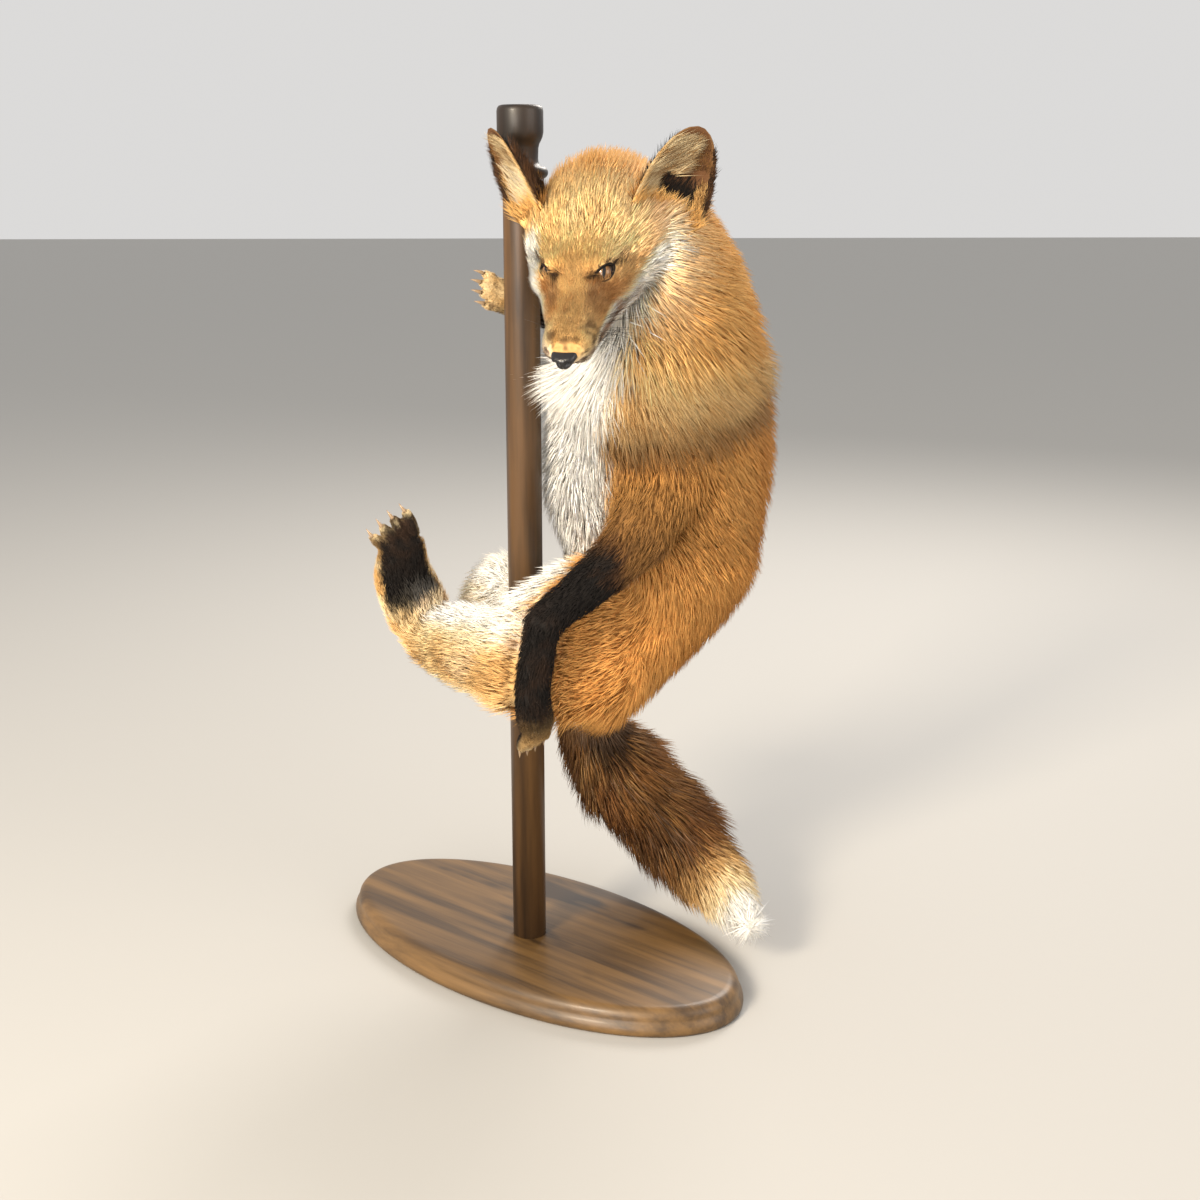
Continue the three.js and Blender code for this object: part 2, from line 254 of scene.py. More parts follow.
@dataclass(frozen=True)
class HeadFrame:
    """The head's own frame: forward along the muzzle, left and up, from between the eyes."""

    eyes: Point = (46, -101, 653)
    yaw: float = -108.9
    pitch: float = 35.0

    @property
    def axes(self) -> Array:
        """Rows: forward, left, up."""
        y, p = math.radians(self.yaw), math.radians(self.pitch)
        ahead = np.array([math.cos(y) * math.cos(p), math.sin(y) * math.cos(p), -math.sin(p)])
        left = np.array([-math.sin(y), math.cos(y), 0.0])
        return np.stack([ahead, left, np.cross(ahead, left)])

    def point(self, ahead: float, left: float, up: float) -> Array:
        """A point of the head, in the part's frame."""
        return self.placed(np.array([ahead, left, up]))

    def placed(self, local: Array) -> Array:
        """Points given in the head's frame, in the part's frame."""
        return np.array(self.eyes) + local @ self.axes

    def turn(self, way: Point, side: int) -> Array:
        """A direction of the head's left side, or of its right side where side is -1."""
        return np.array(way) * np.array([1.0, side, 1.0]) @ self.axes

    def local(self, p: Array) -> Array:
        """Points of the part as rows of forward, left, up."""
        return (p - np.array(self.eyes)) @ self.axes.T

    def face(self, p: Array) -> Array:
        """The same rows with the bend of the muzzle, to the left and down, taken out."""
        v = self.local(p)
        ahead = np.maximum(v[:, 0] - 8.0, 0.0)
        return v + np.column_stack([0 * ahead, -0.08 * ahead, 0.06 * ahead])


HEAD = HeadFrame()


@dataclass
class Sample:
    """What a limb says about each of a list of points.

    distance is to its skin, t runs 0 to 1 along it, round is the angle about it in degrees (0 on
    the wide side, 90 on the high side), and the rest belongs to the section there.
    """

    distance: Array
    t: Array
    round: Array
    along: Array
    high: Array
    depth: Array
    hair: Array


Paint = Callable[[Sample, Array], Array]

# One section of a limb: its middle, half its width and height out to the coat's tips, how deep the
# coat stands there and how long its hairs are, mm.
Row = tuple[Point, float, float, float, float]


def ellipsoid(p: Array, radii: Array) -> Array:
    """Distances to the surface of an ellipsoid round the origin."""
    k = np.linalg.norm(p / radii, axis=1)
    return k * (k - 1.0) / np.maximum(np.linalg.norm(p / radii**2, axis=1), 1e-6)


@dataclass
class Limb:
    """A rounded limb through rows of sections, with its skin inside the solids by the coat."""

    name: str
    rows: list[Row]
    up: Point
    paint: Paint
    bulge: float = 0.6
    lie: float = 1.0  # 1 where the hair runs from the first section to the last, -1 back
    join: float = 16.0  # how far it melts into its neighbours, mm
    sweep: float = 0.0  # how much the hair also turns towards the high side
    steps: int = 7  # samples of the centre line between two sections

    def __post_init__(self) -> None:
        """Samples the centre line and the sections."""
        n = len(self.rows)
        at = np.linspace(0.0, n - 1.0, (n - 1) * self.steps + 1)
        centres = np.array([row[0] for row in self.rows], float)
        sizes = np.array([row[1:] for row in self.rows], float)
        self.centre = spline(centres, at, True)
        step = 1e-3
        ahead = spline(centres, np.minimum(at + step, n - 1.0), True)
        behind = spline(centres, np.maximum(at - step, 0.0), True)
        self.along = unit(ahead - behind)
        up = np.broadcast_to(np.array(self.up, float), self.along.shape)
        self.high = tangential(up, self.along)
        self.size = spline(sizes[:, :2], at, False)
        self.depth, self.hair = (np.interp(at, np.arange(n), column) for column in sizes.T[2:])
        gaps = np.linalg.norm(np.diff(self.centre, axis=0), axis=1)
        self.gap = 0.5 * (np.append(gaps, gaps[-1]) + np.insert(gaps, 0, gaps[0]))

    def box(self, margin: float) -> tuple[Array, Array]:
        """The lowest and highest corner round the limb, with a margin, mm."""
        reach = self.size.max(axis=1)[:, None] + margin
        return (self.centre - reach).min(axis=0), (self.centre + reach).max(axis=0)

    def sample(self, p: Array) -> Sample:
        """Reads the limb at points.

        Args:
            p: Rows of points, mm.

        Returns:
            One Sample for all of them.
        """
        near = p @ self.centre.T * -2.0 + dot(self.centre, self.centre)
        i = near.argmin(axis=1)
        last = len(self.centre) - 1
        s = np.clip(i + dot(p - self.centre[i], self.along[i]) / self.gap[i], 0.0, last)
        k = np.minimum(s.astype(int), last - 1)
        f = (s - k)[:, None]

        def between(values: Array) -> Array:
            """Values at s, from the two samples beside it."""
            g = f if values.ndim > 1 else f[:, 0]
            return values[k] * (1.0 - g) + values[k + 1] * g

        off = p - between(self.centre)
        along, high = unit(between(self.along)), unit(between(self.high))
        wide = np.cross(along, high)
        size, depth, hair = between(self.size), between(self.depth), between(self.hair)
        inner = np.maximum(size - depth[:, None], 2.0)
        past = (s <= 0.0) | (s >= last)
        dome = np.maximum(self.bulge * size.min(axis=1) - depth, 0.45 * inner.min(axis=1))
        v = np.stack([dot(off, wide), dot(off, high), np.where(past, dot(off, along), 0.0)], -1)
        distance = ellipsoid(v, np.column_stack([inner, dome]))
        turn = np.degrees(np.arctan2(v[:, 1] / inner[:, 1], v[:, 0] / inner[:, 0]))
        return Sample(distance, s / last, turn, along, high, depth, hair)


def melt(a: Array, b: Array, width: float) -> Array:
    """The union of two distance fields, rounded over a width, mm, where they meet."""
    h = np.clip(width - np.abs(a - b), 0.0, None) / width
    return np.minimum(a, b) - h * h * width * 0.25


# ---- markings


def around(angle: Array, middle: float) -> Array:
    """How many degrees an angle is from a middle one, from 0 to 180."""
    return np.abs((angle - middle + 180.0) % 360.0 - 180.0)


def mottle(p: Array, seed: int) -> Array:
    """Uneven noise of two sizes that roughens the edges of the markings, from about -1 to 1."""
    return 0.65 * noise(p, 16.0, seed) + 0.35 * noise(p, 5.0, seed + 7)


def streak(q: Array, start: Point, end: Point, width: float) -> Array:
    """A soft line between two places of the face.

    Args:
        q: Rows of forward, aside and up on the face.
        start: One end.
        end: The other end, where it is half as wide.
        width: Half its width at the start, mm.

    Returns:
        How much each row is on the line, from 0 to 1.
    """
    a, b = np.array(start), np.array(end)
    t = np.clip((q - a) @ (b - a) / ((b - a) @ (b - a)), 0.0, 1.0)
    far = np.linalg.norm(q - a - t[:, None] * (b - a), axis=1)
    return ramp(far / (width * (1.0 - 0.5 * t)), 1.3, 0.5)


def paint_head(s: Sample, p: Array) -> Array:
    """Golden brow, rusty bridge and cheeks, white jaw and cheek band, dark tear lines, painted shade above
    the eyes and in the crease of the mouth, and a painted highlight on the bridge.

    Args:
        s: What the limb says of them; not used.
        p: Rows of points, mm.

    Returns:
        Rows of colours.
    """
    f, left, u = HEAD.face(p).T
    side = np.abs(left)
    q = np.column_stack([f, side, u])
    n, fine = mottle(p, 3), noise(p, 2.6, 8)
    bridge = ramp(f + 4 * n, -6.0, 16.0) * ramp(side, 17.0, 6.0)
    cheek = ramp(np.hypot((f + 4.0) / 34.0, (u + 9.0) / 15.0), 1.2, 0.7) * ramp(side, 13.0, 24.0)
    flank = ramp(side, 8.0, 15.0) * ramp(f + 4 * n, 4.0, 16.0) * ramp(f, 66.0, 40.0)
    hollow = ramp(np.hypot((f - 26.0) / 22.0, (u + 5.0) / 9.0), 1.1, 0.6) * ramp(side, 8.0, 14.0)
    line = np.interp(f, [-60, -42, -30, -12, 16, 40, 70], [12, 7, 2, -6, -14, -14, -11]) + 2.5 * n
    line = line + ramp(left, 0.0, -14.0) * (7.0 - 20.0 * ramp(f, -18.0, -40.0))
    line = line + 12.0 * ramp(left, -25.0, -35.0) * ramp(f, -42.0, -20.0)
    white = ramp(u, line + 2.5, line - 2.5)
    # the dark line of the lips, with painted shade of the crease of the mouth
    lip_line_and_crease_shade = ramp(np.abs(u + 24.5), 3.5, 0.8) * ramp(f, -24.0, 4.0) * ramp(f, 86.0, 74.0)
    # dark lid marks, with painted shade of the brow above the eyes
    dark = np.maximum(EYES[0].lid_marks_and_brow_shade(p), EYES[1].lid_marks_and_brow_shade(p))
    dots = np.hypot(np.sin((f - 40.0) / 2.6), np.sin((u + 20.0) / 1.9))
    dots = dots * ramp(np.abs(u + 17.0), 9.0, 6.0)
    return layered(
        Fur.GOLD, p,
        (Fur.BLOND, 0.45 + 0.5 * noise(p, 17.0, 5)),
        (Fur.APRICOT, ramp(f + 10 * n, -38.0, -72.0) * 0.75),
        (Fur.ORANGE, ramp(f + 10 * n, -66.0, -96.0) * 0.55),
        (Fur.APRICOT, ramp(side + 6 * n, 36.0, 50.0) * ramp(u, -14.0, 6.0) * 0.5),
        (Fur.APRICOT, bridge * (0.75 + 0.25 * fine)),
        # painted highlight along the top of the bridge
        (Fur.TAN, bridge * ramp(side, 12.0, 4.0) * 0.85),
        (Fur.OLIVE, ramp(f + 6 * n, 34.0, 62.0) * (0.15 + 0.3 * fine)),
        (Fur.ORANGE, cheek * (0.45 + 0.25 * n)),
        (Fur.CHESTNUT, cheek * (0.16 + 0.25 * fine)),
        (Fur.RUST, flank * 0.35),
        (Fur.CHESTNUT, hollow * (0.6 + 0.3 * fine)),
        (Fur.CREAM, white),
        (Fur.WHITE, white * ramp(u + 2 * n, line - 1.0, line - 7.0) * (0.8 + 0.2 * fine)),
        (Fur.TAN, white * ramp(f, 34.0, 56.0) * 0.45),
        (Fur.BROWN, lip_line_and_crease_shade * (0.85 + 0.4 * fine)),
        (Fur.CHESTNUT, ramp(dark, 0.0, 0.6) * 0.7),
        (Fur.BLACK, ramp(dark, 0.35, 0.95) * 0.9),
        (Fur.BLACK, streak(q, (9.0, 20.0, 6.0), (20.0, 16.0, 0.0), 4.4) * 0.85),
        (Fur.BLACK, streak(q, (-3.0, 33.0, 4.0), (-12.0, 44.0, 4.0), 2.8) * 0.9),
        (Fur.BROWN, streak(q, (-10.0, 42.0, 4.0), (-24.0, 53.0, 8.0), 3.0) * 0.6),
        (Fur.CHESTNUT, streak(q, (2.0, 32.0, -11.0), (20.0, 22.0, -9.0), 5.0) * 0.55),
        (Fur.BROWN, ramp(noise(p, 4.5, 9), 0.0, 0.6) * ramp(f + 5 * n, 38.0, 60.0) * 0.75),
        (Fur.BLACK, ramp(dots, 1.15, 1.38) * ramp(f, 46.0, 54.0) * ramp(side, 7.0, 10.0) * 0.75),
        (Fur.RUST, ramp(noise(p, 6.5, 10), 0.0, 0.6) * ramp(f, 8.0, 20.0) * ramp(f, 60.0, 44.0) * 0.5),
    )


def paint_neck(s: Sample, p: Array) -> Array:
    """A golden ruff with a white throat that runs up behind the cheeks.

    Args:
        s: What the limb says of them.
        p: Rows of points, mm.

    Returns:
        Rows of colours.
    """
    n = mottle(p, 11)
    mirrored = around(s.round, -90.0) - 90.0  # 0 at the sides, -90 at the throat
    edge = np.interp(s.t, [0, 0.09, 0.18, 0.29, 0.40, 0.56, 0.84],
                     [-8, -12, -34, -54, -66, -70, -58]) + 9 * n
    seam = ramp(np.abs(s.t - 0.5), 0.09, 0.02) * ramp(np.abs(mirrored + 50.0), 24.0, 8.0)
    fringe = ramp(s.t + 0.05 * n, 0.66, 0.8) * ramp(mirrored, edge, edge + 14.0)
    return layered(
        Fur.APRICOT, p,
        (Fur.GOLD, 0.5 + 0.5 * noise(p, 26.0, 12)),
        (Fur.ORANGE, ramp(around(s.round, 90.0) + 14 * n, 80.0, 35.0) * 0.6),
        (Fur.ORANGE, ramp(s.t + 0.06 * n, 0.72, 1.0) * 0.5),
        (Fur.CREAM, ramp(mirrored, edge + 9.0, edge - 3.0) * 0.85),
        (Fur.WHITE, ramp(mirrored, edge + 2.0, edge - 7.0)),
        (Fur.GREY, seam * (0.08 + 0.25 * noise(p, 4.0, 14))),
        (Fur.BLOND, fringe * (0.55 + 0.5 * noise(p, 7.0, 15))),
    )


def paint_trunk(s: Sample, p: Array) -> Array:
    """A rusty back, orange sides and a white breast and belly, with painted shade at the upper end, under
    the ruff.

    Args:
        s: What the limb says of them.
        p: Rows of points, mm.

    Returns:
        Rows of colours.
    """
    n = mottle(p, 21)
    edge = around(s.round, -90.0) + 6 * n
    wide = np.interp(s.t, [0.0, 0.15, 0.5, 0.8, 1.0], [32.0, 43.0, 40.0, 27.0, 20.0])
    return layered(
        Fur.ORANGE, p,
        (Fur.APRICOT, 0.45 + 0.5 * noise(p, 34.0, 22)),
        (Fur.RUST, ramp(around(s.round, 90.0) + 16 * n, 75.0, 30.0) * 0.5),
        # painted shadow of the ruff at the upper end of the limb
        (Fur.CHESTNUT, ramp(s.t + 0.05 * n, 0.24, 0.06) * 0.9),
        (Fur.BROWN, ramp(s.t + 0.05 * n, 0.16, 0.04) * 0.5),
        (Fur.TAN, ramp(edge, wide + 14.0, wide) * 0.6),
        (Fur.WHITE, ramp(edge, wide + 4.0, wide - 4.0)),
    )


# the tail's dark gland patch, which also stands for the painted shadow of the rump where the tail bends
TAIL_SPOT_AND_SHADOW = np.array([[84.0, 28.0, 222.0], [36.0, 34.0, 24.0]])  # its middle and its radii, mm


def paint_tail(s: Sample, p: Array) -> Array:
    """Brown orange, grizzled with grey and dark hair ends and darkened partly as painted shade, with a dark
    gland patch near the root that also paints the shadow of the rump.

    Args:
        s: What the limb says of them; not used.
        p: Rows of points, mm.

    Returns:
        Rows of colours.
    """
    n = mottle(p, 31)
    spot_and_shadow = ramp(np.linalg.norm((p - TAIL_SPOT_AND_SHADOW[0]) / TAIL_SPOT_AND_SHADOW[1], axis=1), 1.15, 0.7)
    return layered(
        Fur.OLIVE, p,
        # the tail's own browns, made darker also as painted shade
        (Fur.CHESTNUT, 0.55 + 0.4 * noise(p, 22.0, 32)),
        (Fur.TAN, ramp(noise(p, 7.0, 36), 0.2, 0.8) * 0.4),
        (Fur.BROWN, ramp(noise(p, 9.0, 33) + 0.3 * n, -0.4, 0.4) * 0.75),
        (Fur.GREY, ramp(noise(p, 6.0, 35), 0.2, 0.7) * 0.4),
        (Fur.BLACK, spot_and_shadow * (0.85 + 0.15 * n)),
    )


def paint_brush(s: Sample, p: Array) -> Array:
    """The end of the tail, grizzled and then white at the tip."""
    return layered(
        paint_tail(s, p), p,
        (Fur.TAN, ramp(s.t + 0.12 * mottle(p, 37), 0.02, 0.3) * 0.8),
        (Fur.CREAM, ramp(s.t + 0.1 * mottle(p, 38), 0.3, 0.5) * 0.8),
        (Fur.WHITE, ramp(s.t + 0.1 * mottle(p, 34), 0.5, 0.7)),
    )


def paint_upper_arm(s: Sample, p: Array) -> Array:
    """Orange at the shoulder, olive brown towards the elbow."""
    n = mottle(p, 41)
    return layered(
        Fur.ORANGE, p,
        (Fur.APRICOT, 0.4 + 0.4 * noise(p, 20.0, 42)),
        (Fur.OLIVE, ramp(s.t + 0.22 * n, 0.2, 0.7) * 0.8),
        (Fur.BROWN, ramp(s.t + 0.2 * n, 0.85, 1.15) * 0.8),
    )


def paint_forearm(s: Sample, p: Array) -> Array:
    """Olive brown that turns black before the wrist."""
    grade = s.t + 0.2 * mottle(p, 51)
    return layered(
        Fur.BROWN, p,
        (Fur.OLIVE, ramp(grade + 0.1 * ramp(around(s.round, 20.0), 120.0, 30.0), 0.42, 0.05) * 0.85),
        (Fur.BLACK, ramp(grade, 0.2, 0.48)),
    )


def paint_paw(s: Sample, p: Array) -> Array:
    """Black stockings."""
    return layered(Fur.BLACK, p, (Fur.BROWN, 0.06 + 0.22 * noise(p, 9.0, 61)))


def paint_toe(s: Sample, p: Array) -> Array:
    """Black toes that pale to a cream edge round the claws and pads."""
    under = ramp(s.round, 10.0, -40.0) * ramp(s.round, -178.0, -140.0)
    return layered(
        Fur.BLACK, p,
        (Fur.BROWN, 0.1 + 0.25 * noise(p, 6.0, 62)),
        (Fur.TAN, under * 0.8),
        (Fur.CREAM, ramp(s.t + 0.3 * noise(p, 6.0, 63), 0.8, 1.05) * 0.8),
    )


def paint_far_toe(s: Sample, p: Array) -> Array:
    """Tan and cream toes with dark lines between them."""
    return layered(
        Fur.TAN, p,
        (Fur.CREAM, 0.5 + 0.5 * noise(p, 7.0, 64)),
        (Fur.BROWN, ramp(noise(p, 4.0, 65), 0.25, 0.7) * 0.7),
    )


def paint_thigh(s: Sample, p: Array) -> Array:
    """Orange outside, white above and inside towards the knee.

    Args:
        s: What the limb says of them.
        p: Rows of points, mm.

    Returns:
        Rows of colours.
    """
    n = mottle(p, 71)
    edge = np.interp(s.t, [0.0, 0.35, 0.55, 0.8, 1.0], [20, 60, 104, 128, 138]) + 8 * n
    inner = ramp(s.round, -40.0, -15.0)
    return layered(
        Fur.ORANGE, p,
        (Fur.APRICOT, 0.55 + 0.45 * noise(p, 30.0, 72)),
        (Fur.TAN, ramp(s.t + 0.15 * n, 0.7, 1.0) * 0.6),
        (Fur.CREAM, ramp(s.round, edge + 16.0, edge) * inner * 0.8),
        (Fur.WHITE, ramp(s.round, edge + 4.0, edge - 8.0) * inner),
    )


def paint_shank(s: Sample, p: Array) -> Array:
    """White above, golden and tan at the side, speckled below and cream at the bottom.

    Args:
        s: What the limb says of them.
        p: Rows of points, mm.

    Returns:
        Rows of colours.
    """
    n = mottle(p, 81)
    low = np.where(s.round < 0, s.round + 360.0, s.round)  # 90 above, 180 on the near side, 270 below
    specks = ramp(np.abs(low - 206.0), 34.0, 12.0) * ramp(noise(p, 5.0, 83), -0.3, 0.4)
    return layered(
        Fur.TAN, p,
        (Fur.BLOND, 0.5 + 0.5 * noise(p, 24.0, 82)),
        (Fur.OLIVE, specks * 0.85),
        (Fur.BROWN, specks * ramp(noise(p, 4.0, 84), 0.0, 0.6) * 0.5),
        (Fur.CREAM, ramp(low + 12 * n, 226.0, 250.0) * 0.8),
        (Fur.CREAM, ramp(low + 14 * n, 176.0, 152.0)),
        (Fur.WHITE, ramp(low + 14 * n, 150.0, 122.0)),
    )


def paint_hindfoot(s: Sample, p: Array) -> Array:
    """A black front with broad tan and cream edges, tan at the heel.

    Args:
        s: What the limb says of them.
        p: Rows of points, mm.

    Returns:
        Rows of colours.
    """
    n = mottle(p, 91)
    pale = ramp(around(s.round, 86.0) + 14 * n, 58.0, 74.0)
    pale = np.maximum(pale, ramp(s.t + 0.08 * n, 0.42, 0.26))
    cream = pale * ramp(noise(p, 12.0, 93), -0.3, 0.4) * 0.8
    return layered(Fur.BLACK, p, (Fur.TAN, pale * 0.95), (Fur.CREAM, cream))


def paint_white(s: Sample, p: Array) -> Array:
    """The white inside of a leg."""
    return layered(Fur.WHITE, p, (Fur.CREAM, ramp(noise(p, 26.0, 95), -0.2, 0.6) * 0.5))


# ---- limbs

DORSAL = (0.906, 0.423, 0.0)  # the fox's back faces away from the pole
UP = (0, 0, 1)


@dataclass
class Toes:
    """Four toes side by side at the end of a foot, and where their claws grow."""

    end: Point
    toward: Point
    wide: Point
    girth: float
    reach: float = 20.0  # of a middle toe; an outer one is shorter by step a place
    step: float = 3.0
    pitch: float = 1.15  # from toe to toe, in girths
    spread: float = 1.6
    depth: float = 1.0
    hair: float = 3.6
    paint: Paint = paint_toe

    def layout(self) -> list[tuple[Array, Array, Array, Array]]:
        """Works out where the toes are.

        Returns:
            Root, tip, forward and upward direction of each.
        """
        ahead = unit(np.array(self.toward, float))
        across = unit(np.array(self.wide, float))
        high = np.cross(across, ahead)
        found = []
        for place in (-1.5, -0.5, 0.5, 1.5):
            root = np.array(self.end, float) + across * place * self.girth * self.pitch
            length = self.reach - self.step * abs(place)
            found.append((root, root + ahead * length + across * place * self.spread, ahead, high))
        return found

    def limbs(self, name: str) -> list[Limb]:
        """The toes as short limbs."""
        g = self.girth
        return [
            Limb(f"{name}_toe_{i}", [
                (root, g * 0.9, g, self.depth, self.hair),
                (root * 0.4 + tip * 0.6, g * 0.98, g * 1.15, self.depth, self.hair),
                (tip, g * 0.7, g * 0.8, self.depth * 0.8, self.hair * 0.8),
            ], tuple(high), self.paint, bulge=0.9, join=1.5)
            for i, (root, tip, _, high) in enumerate(self.layout())
        ]


@dataclass
class Lump:
    """An ellipsoid that fills out the head, in the head's frame."""

    at: Point
    radii: Point
    join: float = 8.0

    def distance(self, p: Array) -> Array:
        """Distances to its surface."""
        return ellipsoid(HEAD.local(p) - np.array(self.at), np.array(self.radii))


@dataclass
class Skeleton:
    """Every limb of the fox, in the pose that hugs the pole."""

    withers: Point = (119, 6, 556)
    chest: Point = (123, 40, 495)
    ribs: Point = (127, 50, 442)
    loin: Point = (129, 48, 385)
    reach: float = 28.0  # how far from a limb its field is worked out, mm
    share: float = 9.0  # how softly one limb's coat passes into the next, mm

    def __post_init__(self) -> None:
        """Lays out the limbs, in groups that melt together."""
        self.feet = {
            "forepaw_left": Toes((7, -66, 253), (-8, 26, -50), (0.88, 0, 0.47), 5.8, pitch=1.22, spread=1.0),
            "hindfoot_left": Toes((-110, 2, 411), (-0.55, -0.2, 0.8), (0.8, 0.1, 0.6), 6.4, reach=22.0,
                                  step=2.0, pitch=1.3, spread=4.0),
            "hindfoot_right": Toes((-62, 88, 286), (-32, -8, 16), (0, 1, 0), 5.2, pitch=1.2),
            "forepaw_right": Toes((-20, 24, 628), (-24, -14, 10), (0, 0.2, 1), 5.2, pitch=1.25,
                                  spread=2.4, paint=paint_far_toe),
        }
        self.groups = [
            [*self.head(), *self.trunk(), *self.tail(), *self.arm_left()[:1],
             *self.leg_left()[:2], *self.leg_right()[:1], *self.arm_right()[:1]],
            self.arm_left(), self.leg_left(), self.leg_right(), self.arm_right(),
        ]
        named = {limb.name: limb for group in self.groups for limb in group}
        self.limbs = list(named.values())
        self.place = {name: i for i, name in enumerate(named)}

    def head(self) -> list[Limb]:
        """Skull, muzzle and lower jaw, whose sections run forwards and whose hair runs back."""
        at, up = HEAD.point, tuple(HEAD.axes[2])
        return [
            Limb("head", [
                (at(-94, 4, 4), 52, 46, 20, 36), (at(-68, 3, 0), 64, 53, 19, 32),
                (at(-40, 1, -5), 63, 50, 14, 28), (at(-16, 0, -9), 52, 38, 8.5, 20),
                (at(4, 0, -9), 38, 26, 4.5, 13), (at(18, 0, -12), 28, 20, 3.2, 10),
            ], up, paint_head, bulge=0.4, lie=-1, join=9),
            Limb("muzzle", [
                (at(8, 0, -14), 32, 18, 3, 10), (at(28, 2, -13), 28, 16, 2.4, 8),
                (at(50, 5, -13), 23, 13.5, 2, 6), (at(70, 6, -14.5), 20, 12.5, 1.5, 5),
                (at(81, 6, -15.5), 13.5, 9.5, 0.9, 3),
            ], up, paint_head, bulge=0.35, lie=-1, join=6),
            Limb("lower_jaw", [
                (at(-10, 1, -26), 46, 19, 6, 20), (at(18, 2, -26.5), 34, 14, 4, 13),
                (at(44, 4.5, -27), 23, 10, 2.4, 8), (at(70, 6, -26.5), 15, 7.5, 1.5, 4),
            ], up, paint_head, bulge=0.5, lie=-1, join=7),
        ]

    def trunk(self) -> list[Limb]:
        """Neck, chest and belly, with the hair running down the back."""
        return [
            Limb("neck", [
                ((99, -42, 690), 64, 58, 22, 40), ((116, -28, 656), 69, 67, 25, 48),
                ((128, -14, 622), 73, 76, 28, 54), (self.withers, 77, 99, 30, 58),
            ], DORSAL, paint_neck, bulge=0.25, join=12, sweep=0.75),
            Limb("chest", [
                (self.withers, 75, 102, 24, 44), (self.chest, 79, 116, 20, 38),
                (self.ribs, 76, 116, 20, 36), (self.loin, 73, 93, 20, 36),
            ], DORSAL, paint_trunk, bulge=0.35, join=24, sweep=0.45),
            Limb("belly", [
                (self.ribs, 60, 80, 20, 36), (self.loin, 73, 92, 20, 36),
                ((105, 35, 335), 69, 71, 20, 36), ((78, 25, 294), 62, 54, 19, 36),
                ((54, 18, 257), 50, 37, 16, 32),
            ], DORSAL, paint_trunk, bulge=0.5, join=24, sweep=0.35),
        ]

    def tail(self) -> list[Limb]:
        """The brush, hanging beside the pole and curling along the base."""
        bend, middle = ((88, 78, 164), 56, 52, 32, 58), ((148, 80, 92), 52, 46, 30, 56)
        return [
            Limb("tail_root", [
                ((54, 52, 244), 31, 28, 15, 34), ((63, 64, 206), 45, 42, 26, 50), bend,
            ], DORSAL, paint_tail, bulge=0.35, join=12),
            Limb("tail_middle", [
                bend, ((118, 86, 126), 58, 52, 32, 58), middle,
            ], DORSAL, paint_tail, bulge=0.35, join=12),
            Limb("tail_tip", [
                middle, ((172, 50, 68), 42, 37, 24, 50),
                ((192, 8, 56), 30, 26, 17, 42), ((204, -34, 48), 14, 12, 8, 30),
            ], DORSAL, paint_brush, bulge=1.0, join=12),
        ]

    def arm_left(self) -> list[Limb]:
        """The near foreleg, hanging across the flank to the pole."""
        elbow, wrist = ((101, -45, 425), 32, 24, 7, 17), (14, -98, 362)
        return [
            Limb("upper_arm_left", [
                ((126, -8, 508), 44, 30, 12, 26), ((118, -24, 466), 42, 30, 10, 22), elbow,
            ], (0.4, -0.9, 0), paint_upper_arm, join=18),
            Limb("forearm_left", [
                elbow, ((62, -72, 394), 23, 21, 5, 14), (wrist, 17, 16, 4, 12),
            ], (0.3, -0.95, 0), paint_forearm, join=12),
            Limb("forepaw_left", [
                (wrist, 17, 16, 3.5, 11), ((5, -94, 298), 16.5, 15, 3, 10),
                ((7, -80, 268), 17.5, 15, 2.5, 9), ((7, -66, 253), 14, 11, 2, 7),
            ], (0, -1, -0.3), paint_paw, bulge=0.35, join=8),
            *self.feet["forepaw_left"].limbs("forepaw_left"),
        ]

    def leg_left(self) -> list[Limb]:
        """The near hind leg, passed round the pole with its foot held up."""
        knee, hock = (-13, -72, 320), (-88, 26, 308)
        ankle = tuple(np.add(hock, (-12, -8, 36)))
        return [
            Limb("thigh_left", [
                ((76, -10, 304), 46, 56, 17, 34), ((38, -36, 304), 40, 58, 15, 32),
                (knee, 32, 48, 12, 28),
            ], UP, paint_thigh, join=18),
            Limb("groin", [
                ((96, 6, 354), 44, 48, 17, 32), ((48, -28, 362), 34, 44, 15, 30),
                ((4, -50, 348), 26, 38, 12, 28),
            ], UP, paint_thigh, join=18),
            Limb("shank_left", [
                (knee, 31, 48, 12, 28), ((-55, -28, 320), 28, 44, 11, 26), (hock, 22, 29, 8, 18),
            ], UP, paint_shank, join=16),
            Limb("hindfoot_left", [
                (hock, 25, 20, 7, 16), (ankle, 31, 18, 5, 14), ((-111, 9, 378), 28, 15, 4, 12),
                ((-110, 2, 411), 21, 11, 2.5, 8),
            ], (0.2, -1, 0.2), paint_hindfoot, bulge=0.3, join=8),
            *self.feet["hindfoot_left"].limbs("hindfoot_left"),
        ]

    def leg_right(self) -> list[Limb]:
        """The far hind leg, folded behind the near one."""
        knee, hock = (-34, 68, 354), (40, 104, 250)
        return [
            Limb("thigh_right", [
                ((72, 54, 300), 40, 54, 15, 30), ((20, 62, 326), 34, 46, 13, 28),
                (knee, 27, 34, 10, 24),
            ], UP, paint_white, join=18),
            Limb("shank_right", [
                (knee, 27, 32, 9, 22), ((4, 88, 300), 24, 27, 8, 20), (hock, 18, 20, 6, 14),
            ], (0.8, 0, 0.6), paint_shank, join=14),
            Limb("hindfoot_right", [
                (hock, 18, 18, 5, 13), ((-30, 96, 270), 17, 14, 4, 11), ((-62, 88, 286), 20, 11, 3, 8),
            ], (0.2, 0, -1), paint_hindfoot, bulge=0.5, join=9),
            *self.feet["hindfoot_right"].limbs("hindfoot_right"),
        ]

